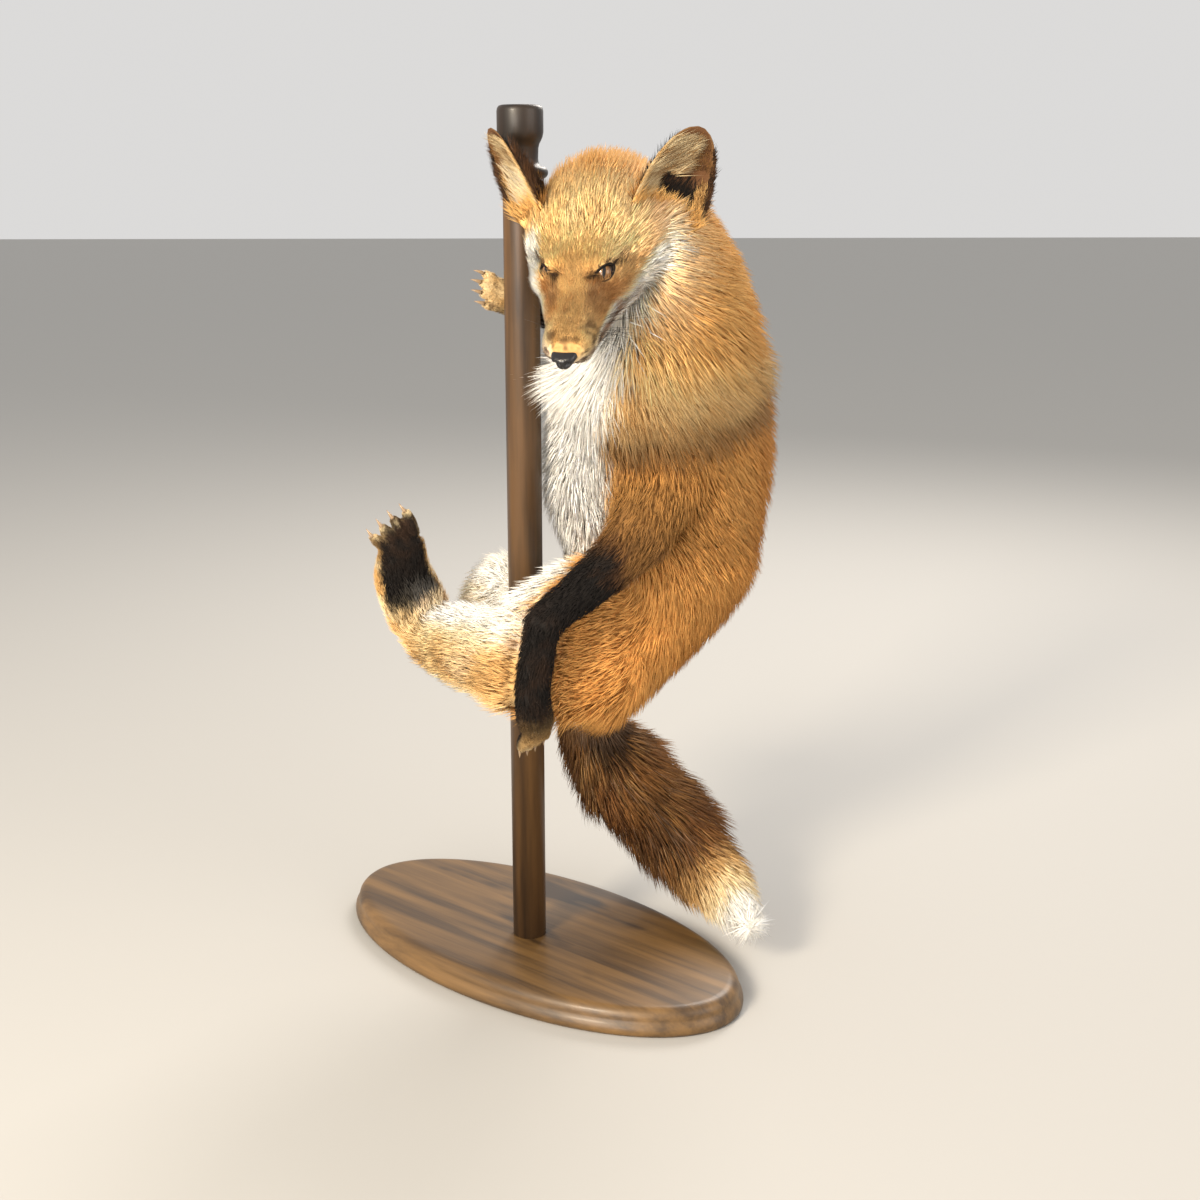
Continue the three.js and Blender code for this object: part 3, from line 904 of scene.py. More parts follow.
    def arm_right(self) -> list[Limb]:
        """The far foreleg, raised behind the head to hold the pole."""
        elbow, wrist = ((112, 126, 588), 27, 23, 7, 17), ((38, 52, 604), 15, 14, 3.5, 11)
        return [
            Limb("upper_arm_right", [
                ((104, 92, 505), 42, 30, 12, 26), ((110, 112, 548), 36, 28, 10, 22), elbow,
            ], (0.3, 0.95, 0), paint_upper_arm, join=18),
            Limb("forearm_right", [
                elbow, ((76, 90, 596), 20, 19, 5, 14), wrist,
            ], UP, paint_forearm, join=12),
            Limb("forepaw_right", [
                wrist, ((4, 38, 618), 16, 13, 3, 9), ((-20, 24, 628), 17, 10, 2.5, 8),
            ], (0, 1, 0), paint_paw, bulge=0.5, join=8),
            *self.feet["forepaw_right"].limbs("forepaw_right"),
        ]

    def lumps(self) -> list[Lump]:
        """Whisker pads, brows and cheek bones."""
        sides = (-1, 1)
        return [
            *(Lump((61, 4.0 + side * 11.0, -19.0), (17, 10, 8.5), 4.5) for side in sides),
            *(Lump((-2, side * 19, 10), (15, 9, 4.5), 7) for side in sides),
            *(Lump((-6, side * 31, -8), (16, 9, 9), 9) for side in sides),
        ]

    def readings(self, p: Array) -> Iterator[tuple[int, Array, Sample]]:
        """Reads each limb at the points near it.

        Args:
            p: Rows of points, mm.

        Yields:
            The limb's number, the rows near it and what it says about them.
        """
        for i, limb in enumerate(self.limbs):
            low, high = limb.box(self.reach)
            rows = np.flatnonzero(np.all((p > low) & (p < high), axis=1))
            if len(rows):
                yield i, rows, limb.sample(p[rows])

    def distance(self, p: Array) -> Array:
        """Signed distances to the skin, negative inside.

        Args:
            p: Rows of points, mm.

        Returns:
            One distance a row, good within self.reach of the skin.
        """
        read = np.full((len(self.limbs), len(p)), FAR)
        for i, rows, s in self.readings(p):
            read[i, rows] = s.distance
        whole = np.full(len(p), FAR)
        for group in self.groups:
            part = np.full(len(p), FAR)
            for limb in group:
                part = melt(part, read[self.place[limb.name]], limb.join)
            if group is self.groups[0]:
                for lump in self.lumps():
                    part = melt(part, lump.distance(p), lump.join)
            whole = np.minimum(whole, part)
        return whole

    def gradient(self, p: Array, step: float = 0.35) -> Array:
        """The direction in which the distance grows, by differences over a tetrahedron."""
        corners = np.array([(1, 1, 1), (1, -1, -1), (-1, 1, -1), (-1, -1, 1)], float)
        total = sum(k * self.distance(p + k * step)[:, None] for k in corners)
        return unit(total)

    def survey(self, p: Array) -> Survey:
        """What the coat is like at places on the skin.

        Args:
            p: Rows of points, mm.

        Returns:
            One Survey for all of them.
        """
        kin = np.zeros((len(self.limbs), len(self.limbs)))  # 1 where two limbs share a group
        for group in self.groups:
            index = [self.place[limb.name] for limb in group]
            kin[np.ix_(index, index)] = 1.0
        d = np.full((len(self.limbs), len(p)), FAR)
        read = list(self.readings(p))
        for i, rows, s in read:
            d[i, rows] = s.distance
        nearest = d.argmin(axis=0)
        weight = np.exp(-(d - d.min(axis=0)) / self.share) * kin[:, nearest]
        weight[weight < 0.02] = 0.0
        weight /= weight.sum(axis=0)
        flow, colour = np.zeros((len(p), 3)), np.zeros((len(p), 3))
        depth, hair, t, turn = (np.zeros(len(p)) for _ in range(4))
        for i, rows, s in read:
            w = weight[i, rows]
            used = w > 0.0
            if not used.any():
                continue
            at, w = rows[used], w[used]
            s = Sample(*(values[used] for values in vars(s).values()))
            limb = self.limbs[i]
            flow[at] += w[:, None] * (limb.lie * s.along + limb.sweep * s.high)
            colour[at] += w[:, None] * limb.paint(s, p[at])
            depth[at] += w * s.depth
            hair[at] += w * s.hair
            own = nearest[at] == i
            t[at[own]], turn[at[own]] = s.t[own], s.round[own]
        return Survey(flow, colour, depth, hair, nearest, t, turn)


@dataclass
class Survey:
    """The coat at each of a list of places: lie, colour, depth, hair length, limb and place on it."""

    flow: Array
    colour: Array
    depth: Array
    hair: Array
    limb: Array
    t: Array
    round: Array


# ---- meshes


@dataclass
class Shell:
    """A mesh in the making: points in mm, faces of four and of three, and a colour a point."""

    points: Array
    quads: Array = field(default_factory=lambda: np.zeros((0, 4), int))
    tris: Array = field(default_factory=lambda: np.zeros((0, 3), int))
    colour: Array | None = None

    def outward(self) -> Shell:
        """The same shell with its faces turned to look out."""
        t = self.triangles()
        a, b, c = (self.points[t[:, i]] for i in range(3))
        if dot(a, np.cross(b, c)).sum() < 0.0:
            return Shell(self.points, self.quads[:, ::-1], self.tris[:, ::-1], self.colour)
        return self

    def triangles(self) -> Array:
        """All faces as triangles."""
        q = self.quads
        return np.vstack([self.tris, q[:, [0, 1, 2]], q[:, [0, 2, 3]]])

    def normals(self) -> Array:
        """The normal at each point, by the area of the faces round it."""
        t = self.triangles()
        a, b, c = (self.points[t[:, i]] for i in range(3))
        n = np.cross(b - a, c - a)
        total = np.zeros_like(self.points)
        for i in range(3):
            for axis in range(3):
                total[:, axis] += np.bincount(t[:, i], n[:, axis], len(self.points))
        return unit(total)

    def object(self, name: str, material: Material) -> Piece:
        """Makes the Blender object.

        Args:
            name: The piece's name.
            material: What it is dressed in.

        Returns:
            The object, linked into the scene, at the origin.
        """
        mesh = bpy.data.meshes.new(name)
        mesh.vertices.add(len(self.points))
        mesh.vertices.foreach_set("co", (self.points * MM).astype(np.float32).ravel())
        corners = np.concatenate([self.quads.ravel(), self.tris.ravel()]).astype(np.int32)
        sizes = np.repeat([4, 3], [len(self.quads), len(self.tris)])
        starts = (np.cumsum(sizes) - sizes).astype(np.int32)
        mesh.loops.add(len(corners))
        mesh.loops.foreach_set("vertex_index", corners)
        mesh.polygons.add(len(sizes))
        mesh.polygons.foreach_set("loop_start", starts)
        mesh.polygons.foreach_set("use_smooth", np.ones(len(sizes), bool))
        if self.colour is not None:
            layer = mesh.color_attributes.new("tint", "FLOAT_COLOR", "POINT")
            rgba = np.column_stack([self.colour, np.ones(len(self.points))]).astype(np.float32)
            layer.data.foreach_set("color", rgba.ravel())
        mesh.update(calc_edges=True)
        mesh.validate()
        mesh.materials.append(material)
        made = bpy.data.objects.new(name, mesh)
        bpy.context.scene.collection.objects.link(made)
        return made


def grid_shell(rings: Array, caps: bool = True) -> Shell:
    """A shell from closed rings of points, each joined to the next.

    Args:
        rings: Points by ring, place round it and axis.
        caps: Closes the first and last ring on their middles.

    Returns:
        The shell, facing out.
    """
    many, round_, _ = rings.shape
    points = rings.reshape(-1, 3)
    r, s = np.meshgrid(np.arange(many - 1), np.arange(round_), indexing="ij")
    a, b = (r * round_ + s).ravel(), (r * round_ + (s + 1) % round_).ravel()
    quads = np.column_stack([a, b, b + round_, a + round_])
    tris = np.zeros((0, 3), int)
    if caps:
        points = np.vstack([points, rings[0].mean(axis=0), rings[-1].mean(axis=0)])
        i = np.arange(round_)
        j, top = (i + 1) % round_, (many - 1) * round_
        first, last = np.full(round_, len(points) - 2), np.full(round_, len(points) - 1)
        tris = np.vstack([np.column_stack([first, j, i]), np.column_stack([last, top + i, top + j])])
    return Shell(points, quads, tris).outward()


def gathered(shells: Sequence[Shell]) -> Shell:
    """Several shells, which carry colours all or not at all, as one shell."""
    first = np.cumsum([0, *(len(one.points) for one in shells)])
    return Shell(
        np.vstack([one.points for one in shells]),
        np.vstack([one.quads + n for one, n in zip(shells, first)]),
        np.vstack([one.tris + n for one, n in zip(shells, first)]),
        None if shells[0].colour is None else np.vstack([one.colour for one in shells]),
    )


# ---- eyes


@dataclass
class Eye:
    """A glass eye and the lids round it. side is 1 for the left eye and -1 for the right."""

    side: int
    radius: float = 9.5
    ahead: float = 2.0
    aside: float = 21.0
    up: float = 2.0
    gaze: Point = (0.58, 0.42, 0.76)
    corner: Point = (-0.66, 0.72, 0.16)  # from the inner corner of the lids to the outer
    look: Point = (0.63, 0.34, 0.70)  # where the iris is turned
    slit: Point = (-0.6, 0.1, 0.8)  # which way the pupil stands
    opening: float = 60.0  # half of it, as an angle on the ball, degrees
    upper: float = 15.0
    lower: float = 39.0
    lid: float = 1.3  # how far the lids stand off the ball
    near: float = 14.0  # how far off the ball the hide still follows it
    free: float = 34.0  # degrees outside the opening at which the hide leaves the ball
    sunk: float = 2.2  # how far the hide lies behind the ball's surface at the opening

    def __post_init__(self) -> None:
        """Works out the place and the axes of the eye."""
        self.centre = HEAD.point(self.ahead, self.side * self.aside, self.up)
        self.out = unit(HEAD.turn(self.gaze, self.side))
        self.along = tangential(HEAD.turn(self.corner, self.side), self.out)
        self.high = np.cross(self.along, self.out) * -self.side
        if self.high @ HEAD.axes[2] < 0:
            self.high = -self.high
        self.ahead_of_iris = unit(HEAD.turn(self.look, self.side))
        self.pupil = tangential(HEAD.turn(self.slit, self.side), self.ahead_of_iris)

    def direction(self, a: Array, b: Array) -> Array:
        """Directions from the middle of the ball, from angles along and across the opening."""
        far = np.maximum(np.hypot(a, b), 1e-6)[..., None]
        side = (a[..., None] * self.along + b[..., None] * self.high) / far
        return self.out * np.cos(np.radians(far)) + side * np.sin(np.radians(far))

    def angles(self, way: Array) -> tuple[Array, Array]:
        """The angles along and across the opening of directions from the middle of the ball."""
        x, y = way @ self.along, way @ self.high
        far = np.degrees(np.arctan2(np.hypot(x, y), way @ self.out)) / np.maximum(np.hypot(x, y), 1e-6)
        return x * far, y * far

    def upper_edge(self, a: Array) -> Array:
        """How far above the middle the upper lid's edge is, degrees, at an angle along the opening."""
        x = np.clip(a / self.opening, -1.0, 1.0)
        return self.upper * (1.0 - x**4) * (1 + 0.2 * x)

    def lower_edge(self, a: Array) -> Array:
        """Where the lower lid's edge is, as a negative angle, at an angle along the opening."""
        x = np.clip(a / self.opening, -1.0, 1.0)
        return -self.lower * (1.0 - x * x) ** 0.8 * (1 - 0.25 * x)

    def seen(self, p: Array) -> tuple[Array, Array, Array]:
        """How points lie round the ball.

        Args:
            p: Rows of points, mm.

        Returns:
            How far from its middle, in which direction, and how many degrees outside the opening.
        """
        off = p - self.centre
        far = np.linalg.norm(off, axis=1)
        way = off / far[:, None]
        a, b = self.angles(way)
        over = np.where(b > 0, b - self.upper_edge(a), self.lower_edge(a) - b)
        return far, way, np.maximum(over, np.abs(a) - self.opening)

    def fit(self, p: Array) -> Array:
        """Draws the hide close round the ball, and in behind it at the opening.

        Args:
            p: Rows of points of the hide.

        Returns:
            The same points, moved where they are near the eye.
        """
        far, way, over = self.seen(p)
        front = way @ self.out
        near = (front > 0.0) & (far < self.radius + self.near)
        hug = ramp(over, self.free, 2.0)
        lid = self.radius + self.lid + 0.5 * ramp(over, 0.0, 10.0)
        wanted = far * (1 - hug) + lid * hug
        wanted = np.maximum(wanted, lid * ramp(front, 0.0, 0.3))
        wanted = np.where(over < -1.0, self.radius - self.sunk, wanted)
        return np.where(near[:, None], self.centre + way * wanted[:, None], p)

    def clearance(self, p: Array) -> Array:
        """How many degrees outside the opening points are, seen from the ball; large when far off."""
        far, way, over = self.seen(p)
        return np.where((way @ self.out > 0.0) & (far < self.radius + self.near), over, 90.0)

    def lid_marks_and_brow_shade(self, p: Array) -> Array:
        """How dark the hide and the hair round the lids are: dark lid marks, widest at the corners, and
        painted shade of the brow, widest above them.

        Args:
            p: Rows of points, mm.

        Returns:
            Numbers from 0 to 1.
        """
        far, way, _ = self.seen(p)
        a, b = self.angles(way)
        x = np.clip(a / self.opening, -1.4, 1.4)
        # wider above the lids for the painted shade of the brow, wider at the corners for the dark lid marks
        width = np.where(b > 0, 13.0, 3.5) + np.where(x < 0, 17.0, 9.0) * np.abs(x) ** 3
        return ramp(self.clearance(p), width, 0.3 * width) * ramp(far, 24.0, 15.0)

    def rim(self, columns: int = 96) -> Shell:
        """The bare dark edge of the lids, a closed band that leans on the ball.

        Args:
            columns: Points round the opening.

        Returns:
            Its shell, with its colour.
        """
        turn = circle(columns)
        a = self.opening * np.cos(turn)
        b = np.where(np.sin(turn) >= 0, self.upper_edge(a), self.lower_edge(a))
        profile = [(-2.0, -0.6), (-1.6, 0.6), (0.5, 1.5), (4.0, 2.1), (8.0, 2.1), (12.0, 1.5), (13.0, -0.6)]
        corner = (0.26 + 0.65 * ramp(np.sin(turn), -0.1, 0.3) + 1.5 * ramp(np.cos(turn), -0.7, -1.0)
                  + 0.5 * ramp(np.cos(turn), 0.8, 1.0))
        rings = []
        for spread, lift in profile:
            away = unit(np.column_stack([a, b * 1.9])) * (spread * corner)[:, None]
            rings.append(self.centre + self.direction(a + away[:, 0], b + away[:, 1])
                         * (self.radius + lift))
        made = grid_shell(np.array([*rings, rings[0]]), caps=False)
        made.colour = np.tile(Fur.BLACK.rgb * 0.45, (len(made.points), 1))
        return made

    def ball(self, rows: int = 90, columns: int = 128) -> tuple[Shell, Array]:
        """The ball of the eye.

        Args:
            rows: Sections from the back to the front.
            columns: Points round a section.

        Returns:
            Its shell, and each point's place as across the pupil, along it and out, in radii.
        """
        lat = np.radians(np.linspace(-90, 90, rows + 1))[1:-1]
        lon = circle(columns)
        across = np.cross(self.pupil, self.ahead_of_iris)
        way = (np.cos(lat)[:, None, None] * (np.cos(lon)[None, :, None] * across
               + np.sin(lon)[None, :, None] * self.pupil)
               + np.sin(lat)[:, None, None] * self.ahead_of_iris)
        bulge = 1.0 + 0.05 * ramp(np.sin(lat), 0.8, 1.0)[:, None, None]
        made = grid_shell(self.centre + way * bulge * self.radius)
        local = (made.points - self.centre) / self.radius
        return made, np.stack([local @ across, local @ self.pupil, local @ self.ahead_of_iris], -1)


EYES = (Eye(1), Eye(-1, opening=50.0, upper=7.0, lower=27.0))

# ---- ears


@dataclass
class Ear:
    """A pointed, cupped ear. side is 1 for the left ear and -1 for the right."""

    side: int
    root: Point
    tip: Point
    turn: float  # degrees that the cup opens outwards of straight ahead
    width: float = 63.0
    depth: float = 18.0
    wall: float = 2.6

    def __post_init__(self) -> None:
        """Works out the axes of the ear."""
        mirror = np.array([1.0, self.side, 1.0])
        self.foot = HEAD.placed(np.array(self.root) * mirror)
        self.rise = HEAD.placed(np.array(self.tip) * mirror) - self.foot
        self.axis = unit(self.rise)
        swing = math.radians(self.turn)
        opens = HEAD.turn((math.cos(swing), math.sin(swing), 0.0), self.side)
        self.open = tangential(opens, self.axis)
        self.across = np.cross(self.axis, self.open)
        # v at the edge by the crown
        self.inner = -self.side * float(np.sign(self.across @ HEAD.axes[1]))

    def leaf(self, t: Array, v: Array, front: Array | float) -> Array:
        """Points of the ear.

        Args:
            t: Up the ear, 0 at the root and 1 at the tip.
            v: Across it, -1 to 1.
            front: -0.5 on the back of the wall and 0.5 inside the cup.

        Returns:
            Rows of points.
        """
        left = np.maximum(1.0 - t, 0.004)
        half = self.width / 2 * np.sqrt(left) * (0.86 + 0.5 * t) * (1.0 - 0.9 * np.maximum(-t, 0.0))
        half = half * (1.0 + 0.24 * np.clip(1.0 - t, 0, 1.1) * np.maximum(-v * self.inner, 0.0))
        cup = self.depth * left**0.7 * half / (self.width / 2)
        thick = self.wall * (1.5 - t) * (1.0 - 0.55 * v * v) * front
        return (self.foot + self.rise * t[..., None] + self.across * (v * half)[..., None]
                + self.open * (cup * (v * v - 0.6) + thick)[..., None])

    def shell(self, rows: int = 34, columns: int = 26) -> Shell:
        """The skin of the ear, front and back, closed round its edge.

        Args:
            rows: Sections from root to tip.
            columns: Points across each side.

        Returns:
            Its shell, with its colours.
        """
        t = np.linspace(-0.4, 0.995, rows)
        v = np.linspace(-1, 1, columns)
        tt, vv = np.meshgrid(t, v, indexing="ij")
        rings = np.concatenate([self.leaf(tt, vv, -0.5), self.leaf(tt, vv, 0.5)[:, ::-1]], axis=1)
        made = grid_shell(rings)
        inside = np.concatenate([np.zeros((rows, columns)), np.ones((rows, columns))], 1).ravel()
        height = np.concatenate([tt, tt], axis=1).ravel()
        edge = np.abs(np.concatenate([vv, vv[:, ::-1]], axis=1).ravel())
        # inside the cup: the ear's dark skin, black towards the root also as painted shade deep in the cup
        cup = layered(Fur.BROWN, height, (Fur.BLACK, ramp(height, 0.5, 0.15)))
        c = layered(
            Fur.APRICOT, height,
            (Fur.BLACK, ramp(height, 0.12, 0.42)),
            (cup, inside),
            (Fur.TAN, inside * ramp(edge, 0.8, 0.97) * 0.15),
            (Fur.GOLD, ramp(height, 0.1, 0.0)),
        )
        made.colour = np.vstack([c, c[:1], c[-1:]])
        return made


# ---- nose, whiskers and claws


@dataclass
class Nose:
    """The bare nose pad: blunt in front, with two comma-shaped nostrils and a groove between."""

    middle: Point = (82.5, 6.0, -15.6)
    long: float = 11.0
    wide: float = 10.4
    high: float = 9.6
    square: float = 0.92  # below 1 the outline is squarer than an ellipse
    brow: float = 0.66  # how high its flattened top is, of high
    chin: float = 0.58  # how much narrower it is at the bottom
    nostril: Point = (4.2, -0.4, 2.3)  # aside, up and size
    pit: float = 4.5  # depth of a nostril
    slit: float = 1.3  # depth of the slit outside each nostril
    groove: float = 0.9  # depth of the groove between them

    def shell(self, rows: int = 60, columns: int = 72) -> Shell:
        """The pad's surface.

        Args:
            rows: Sections from the back to the front.
            columns: Points round a section.

        Returns:
            The closed pad.
        """
        lat = np.radians(np.linspace(-90, 90, rows + 1))[1:-1]
        lon = circle(columns)

        def soft(x: Array) -> Array:
            """A sine or cosine drawn towards a square."""
            return np.sign(x) * np.abs(x) ** self.square

        left = soft(np.cos(lat))[:, None] * soft(np.cos(lon)) * self.wide
        up = soft(np.cos(lat))[:, None] * soft(np.sin(lon)) * self.high
        ahead = np.broadcast_to(soft(np.sin(lat))[:, None], left.shape) * self.long
        top = self.brow * self.high
        up = np.where(up > 0, top * np.tanh(up / top), up)
        up = up * (1.0 - 0.12 * ahead / self.long) - 0.06 * np.maximum(ahead, 0)
        level = up / self.high
        left = left * (1.0 - self.chin * np.maximum(-level, 0.0) + 0.10 * np.maximum(level, 0.0))
        local = np.stack([ahead, left, up], axis=-1)
        aside, rise, size = self.nostril
        front = ramp(ahead, 1.0, 6.0)
        for side in (-1, 1):
            dl, du = left * side - aside, up - rise
            comma = np.hypot(dl / (1 + 0.5 * (dl > 0)), du + 0.35 * np.maximum(dl, 0))
            local[..., 0] -= front * self.pit * np.exp(-((comma / size) ** 2) * 1.3)
            wing = np.hypot((dl - 3.6) / 3.2, (du + 1.6) / 1.1)
            local[..., 1] -= side * ramp(ahead, -4.0, 2.0) * self.slit * np.exp(-(wing**2))
        local[..., 0] -= front * self.groove * np.exp(-((left / 0.8) ** 2)) * ramp(up, 5.0, -2.0)
        return grid_shell(HEAD.placed(local + np.array(self.middle)))


def tube(path: Array, radii: Array, sides: int = 5) -> Shell:
    """A closed round bar along a path.

    Args:
        path: Rows of points.
        radii: Its radius at each.
        sides: Faces round it.

    Returns:
        The shell.
    """
    way = unit(np.gradient(path, axis=0))
    guide = np.array([0.3, 0.2, 0.93])
    side = tangential(np.broadcast_to(guide, way.shape), way)
    up = np.cross(way, side)
    turn = circle(sides)
    ring = side[:, None] * np.cos(turn)[:, None] + up[:, None] * np.sin(turn)[:, None]
    return grid_shell(path[:, None] + ring * radii[:, None, None])


@dataclass
class Whiskers:
    """Long stiff hairs in rows on the whisker pads."""

    rows: int = 4
    each: int = 5
    length: float = 46.0
    radius: float = 0.22
    seed: int = 5

    def shell(self) -> Shell:
        """All the whiskers."""
        rng = np.random.default_rng(self.seed)
        grid = ((side, row, i) for side in (-1, 1) for row in range(self.rows)
                for i in range(self.each))
        return gathered([self.whisker(side, row, i, rng) for side, row, i in grid])

    def whisker(self, side: int, row: int, i: int, rng: np.random.Generator) -> Shell:
        """One whisker.

        Args:
            side: 1 on the left and -1 on the right.
            row: Its row, from the top.
            i: Its place in the row, from the front.
            rng: Where the random numbers come from.

        Returns:
            A thin bar that bends down and ends in a point.
        """
        ahead = 66.0 - 6.5 * i - 1.5 * row
        root = np.array([ahead, 4.5 + side * (14.5 + 0.9 * i - 1.1 * row), -15.0 - 2.6 * row])
        way = unit(np.array([-0.55 - 0.2 * i / self.each, side * 0.8, 0.1 - 0.22 * row])
                   + 0.12 * rng.normal(size=3))
        long_ = self.length * (0.5 + 0.13 * i) * (0.85 + 0.3 * rng.random())
        droop = np.array([-0.25, 0.0, -0.35 - 0.2 * rng.random()])
        t = np.linspace(0, 1, 7)[:, None]
        path = root - way * 2 + way * t * long_ + droop * t**2 * long_ * 0.45
        return tube(HEAD.placed(path), self.radius * (1 - 0.8 * t[:, 0]), 4)


@dataclass
class Claws:
    """The claws of one foot, each a curved horn at the end of its toe."""

    toes: Toes
    length: float = 9.0
    radius: float = 1.9
    curl: float = 0.35

    def shell(self) -> Shell:
        """All the claws of the foot."""
        t = np.linspace(0, 1, 8)[:, None]
        made = []
        for _, tip, ahead, high in self.toes.layout():
            root = tip + ahead * (self.toes.girth * 0.35) + high * 1.5
            path = root + ahead * t * self.length - high * t**2 * self.length * self.curl
            made.append(tube(path, self.radius * (1 - t[:, 0] ** 1.6 * 0.95), 10))
        return gathered(made)


# ---- the stand


@dataclass
class Base:
    """The oval wooden base with a moulded edge."""

    long: float = 217.0
    short: float = 104.0
    centre: tuple[float, float] = (8.0, 13.0)
    turn: float = 138.0
    profile: tuple[tuple[float, float], ...] = (
        (-40, 0), (7, 0), (9.6, 0.8), (11, 3), (11.2, 5.5), (10.8, 8), (9.2, 11), (7.6, 13), (7.2, 15),
        (7.0, 17), (6.2, 19.5), (4.2, 22), (1.6, 24), (-2, 24.8), (-5, 25), (-40, 25),
    )

    def shell(self, sides: int = 160) -> Shell:
        """The base's surface.

        Args:
            sides: Points round it.

        Returns:
            Its shell.
        """
        turn = circle(sides)
        facing = math.radians(self.turn)
        rings = []
        for out, z in self.profile:
            x, y = (self.long + out) * np.cos(turn), (self.short + out) * np.sin(turn)
            rings.append(np.column_stack([
                self.centre[0] + x * math.cos(facing) - y * math.sin(facing),
                self.centre[1] + x * math.sin(facing) + y * math.cos(facing),
                np.full(sides, float(z)),
            ]))
        made = grid_shell(np.array(rings))
        made.colour = np.ones((len(made.points), 3))
        return made


@dataclass
class Pole:
    """The turned pole with a bead, a cove and an eased cap."""

    radius: float = 15.6
    foot: float = 25.4
    top: float = 787.0
    bead: float = 732.0
    bead_radius: float = 23.5
    bead_height: float = 11.0
    cap_radius: float = 19.8
    cap_height: float = 27.0

    def shell(self, sides: int = 64) -> Shell:
        """The pole's surface.

        Args:
            sides: Points round it.

        Returns:
            Its shell, with a darker stain from the bead up.
        """
        r, half = self.radius, self.bead_height / 2
        foot, top = self.bead - half, self.bead + half
        cap = self.top - self.cap_height
        round_ = [(r + 2 + (self.bead_radius - r - 2) * math.cos(a), self.bead + half * math.sin(a))
                  for a in np.radians(np.linspace(-75, 75, 11))]
        profile = [
            (r, self.foot), (r, foot - 8), (r, foot - 3), (r + 1.2, foot - 1.4), (r + 2, foot), *round_,
            (r + 1.2, top), (r - 0.2, top + 3), (r - 0.5, top + 6), (r - 0.2, cap - 8),
            (r + 0.6, cap - 4.5), (r + 2.2, cap - 1.5), (self.cap_radius - 0.9, cap + 1),
            (self.cap_radius, cap + 5), (self.cap_radius, self.top - 5),
            (self.cap_radius - 0.5, self.top - 2.4), (self.cap_radius - 1.8, self.top - 0.7),
            (self.cap_radius - 4, self.top),
        ]
        turn = circle(sides)
        rings = [np.column_stack([a * np.cos(turn), a * np.sin(turn), np.full(sides, z)])
                 for a, z in profile]
        made = grid_shell(np.array(rings))
        stain = 1.0 - 0.82 * ramp(made.points[:, 2], foot - 1, foot + 1)
        made.colour = np.repeat(stain[:, None], 3, axis=1)
        return made


# ---- the skin


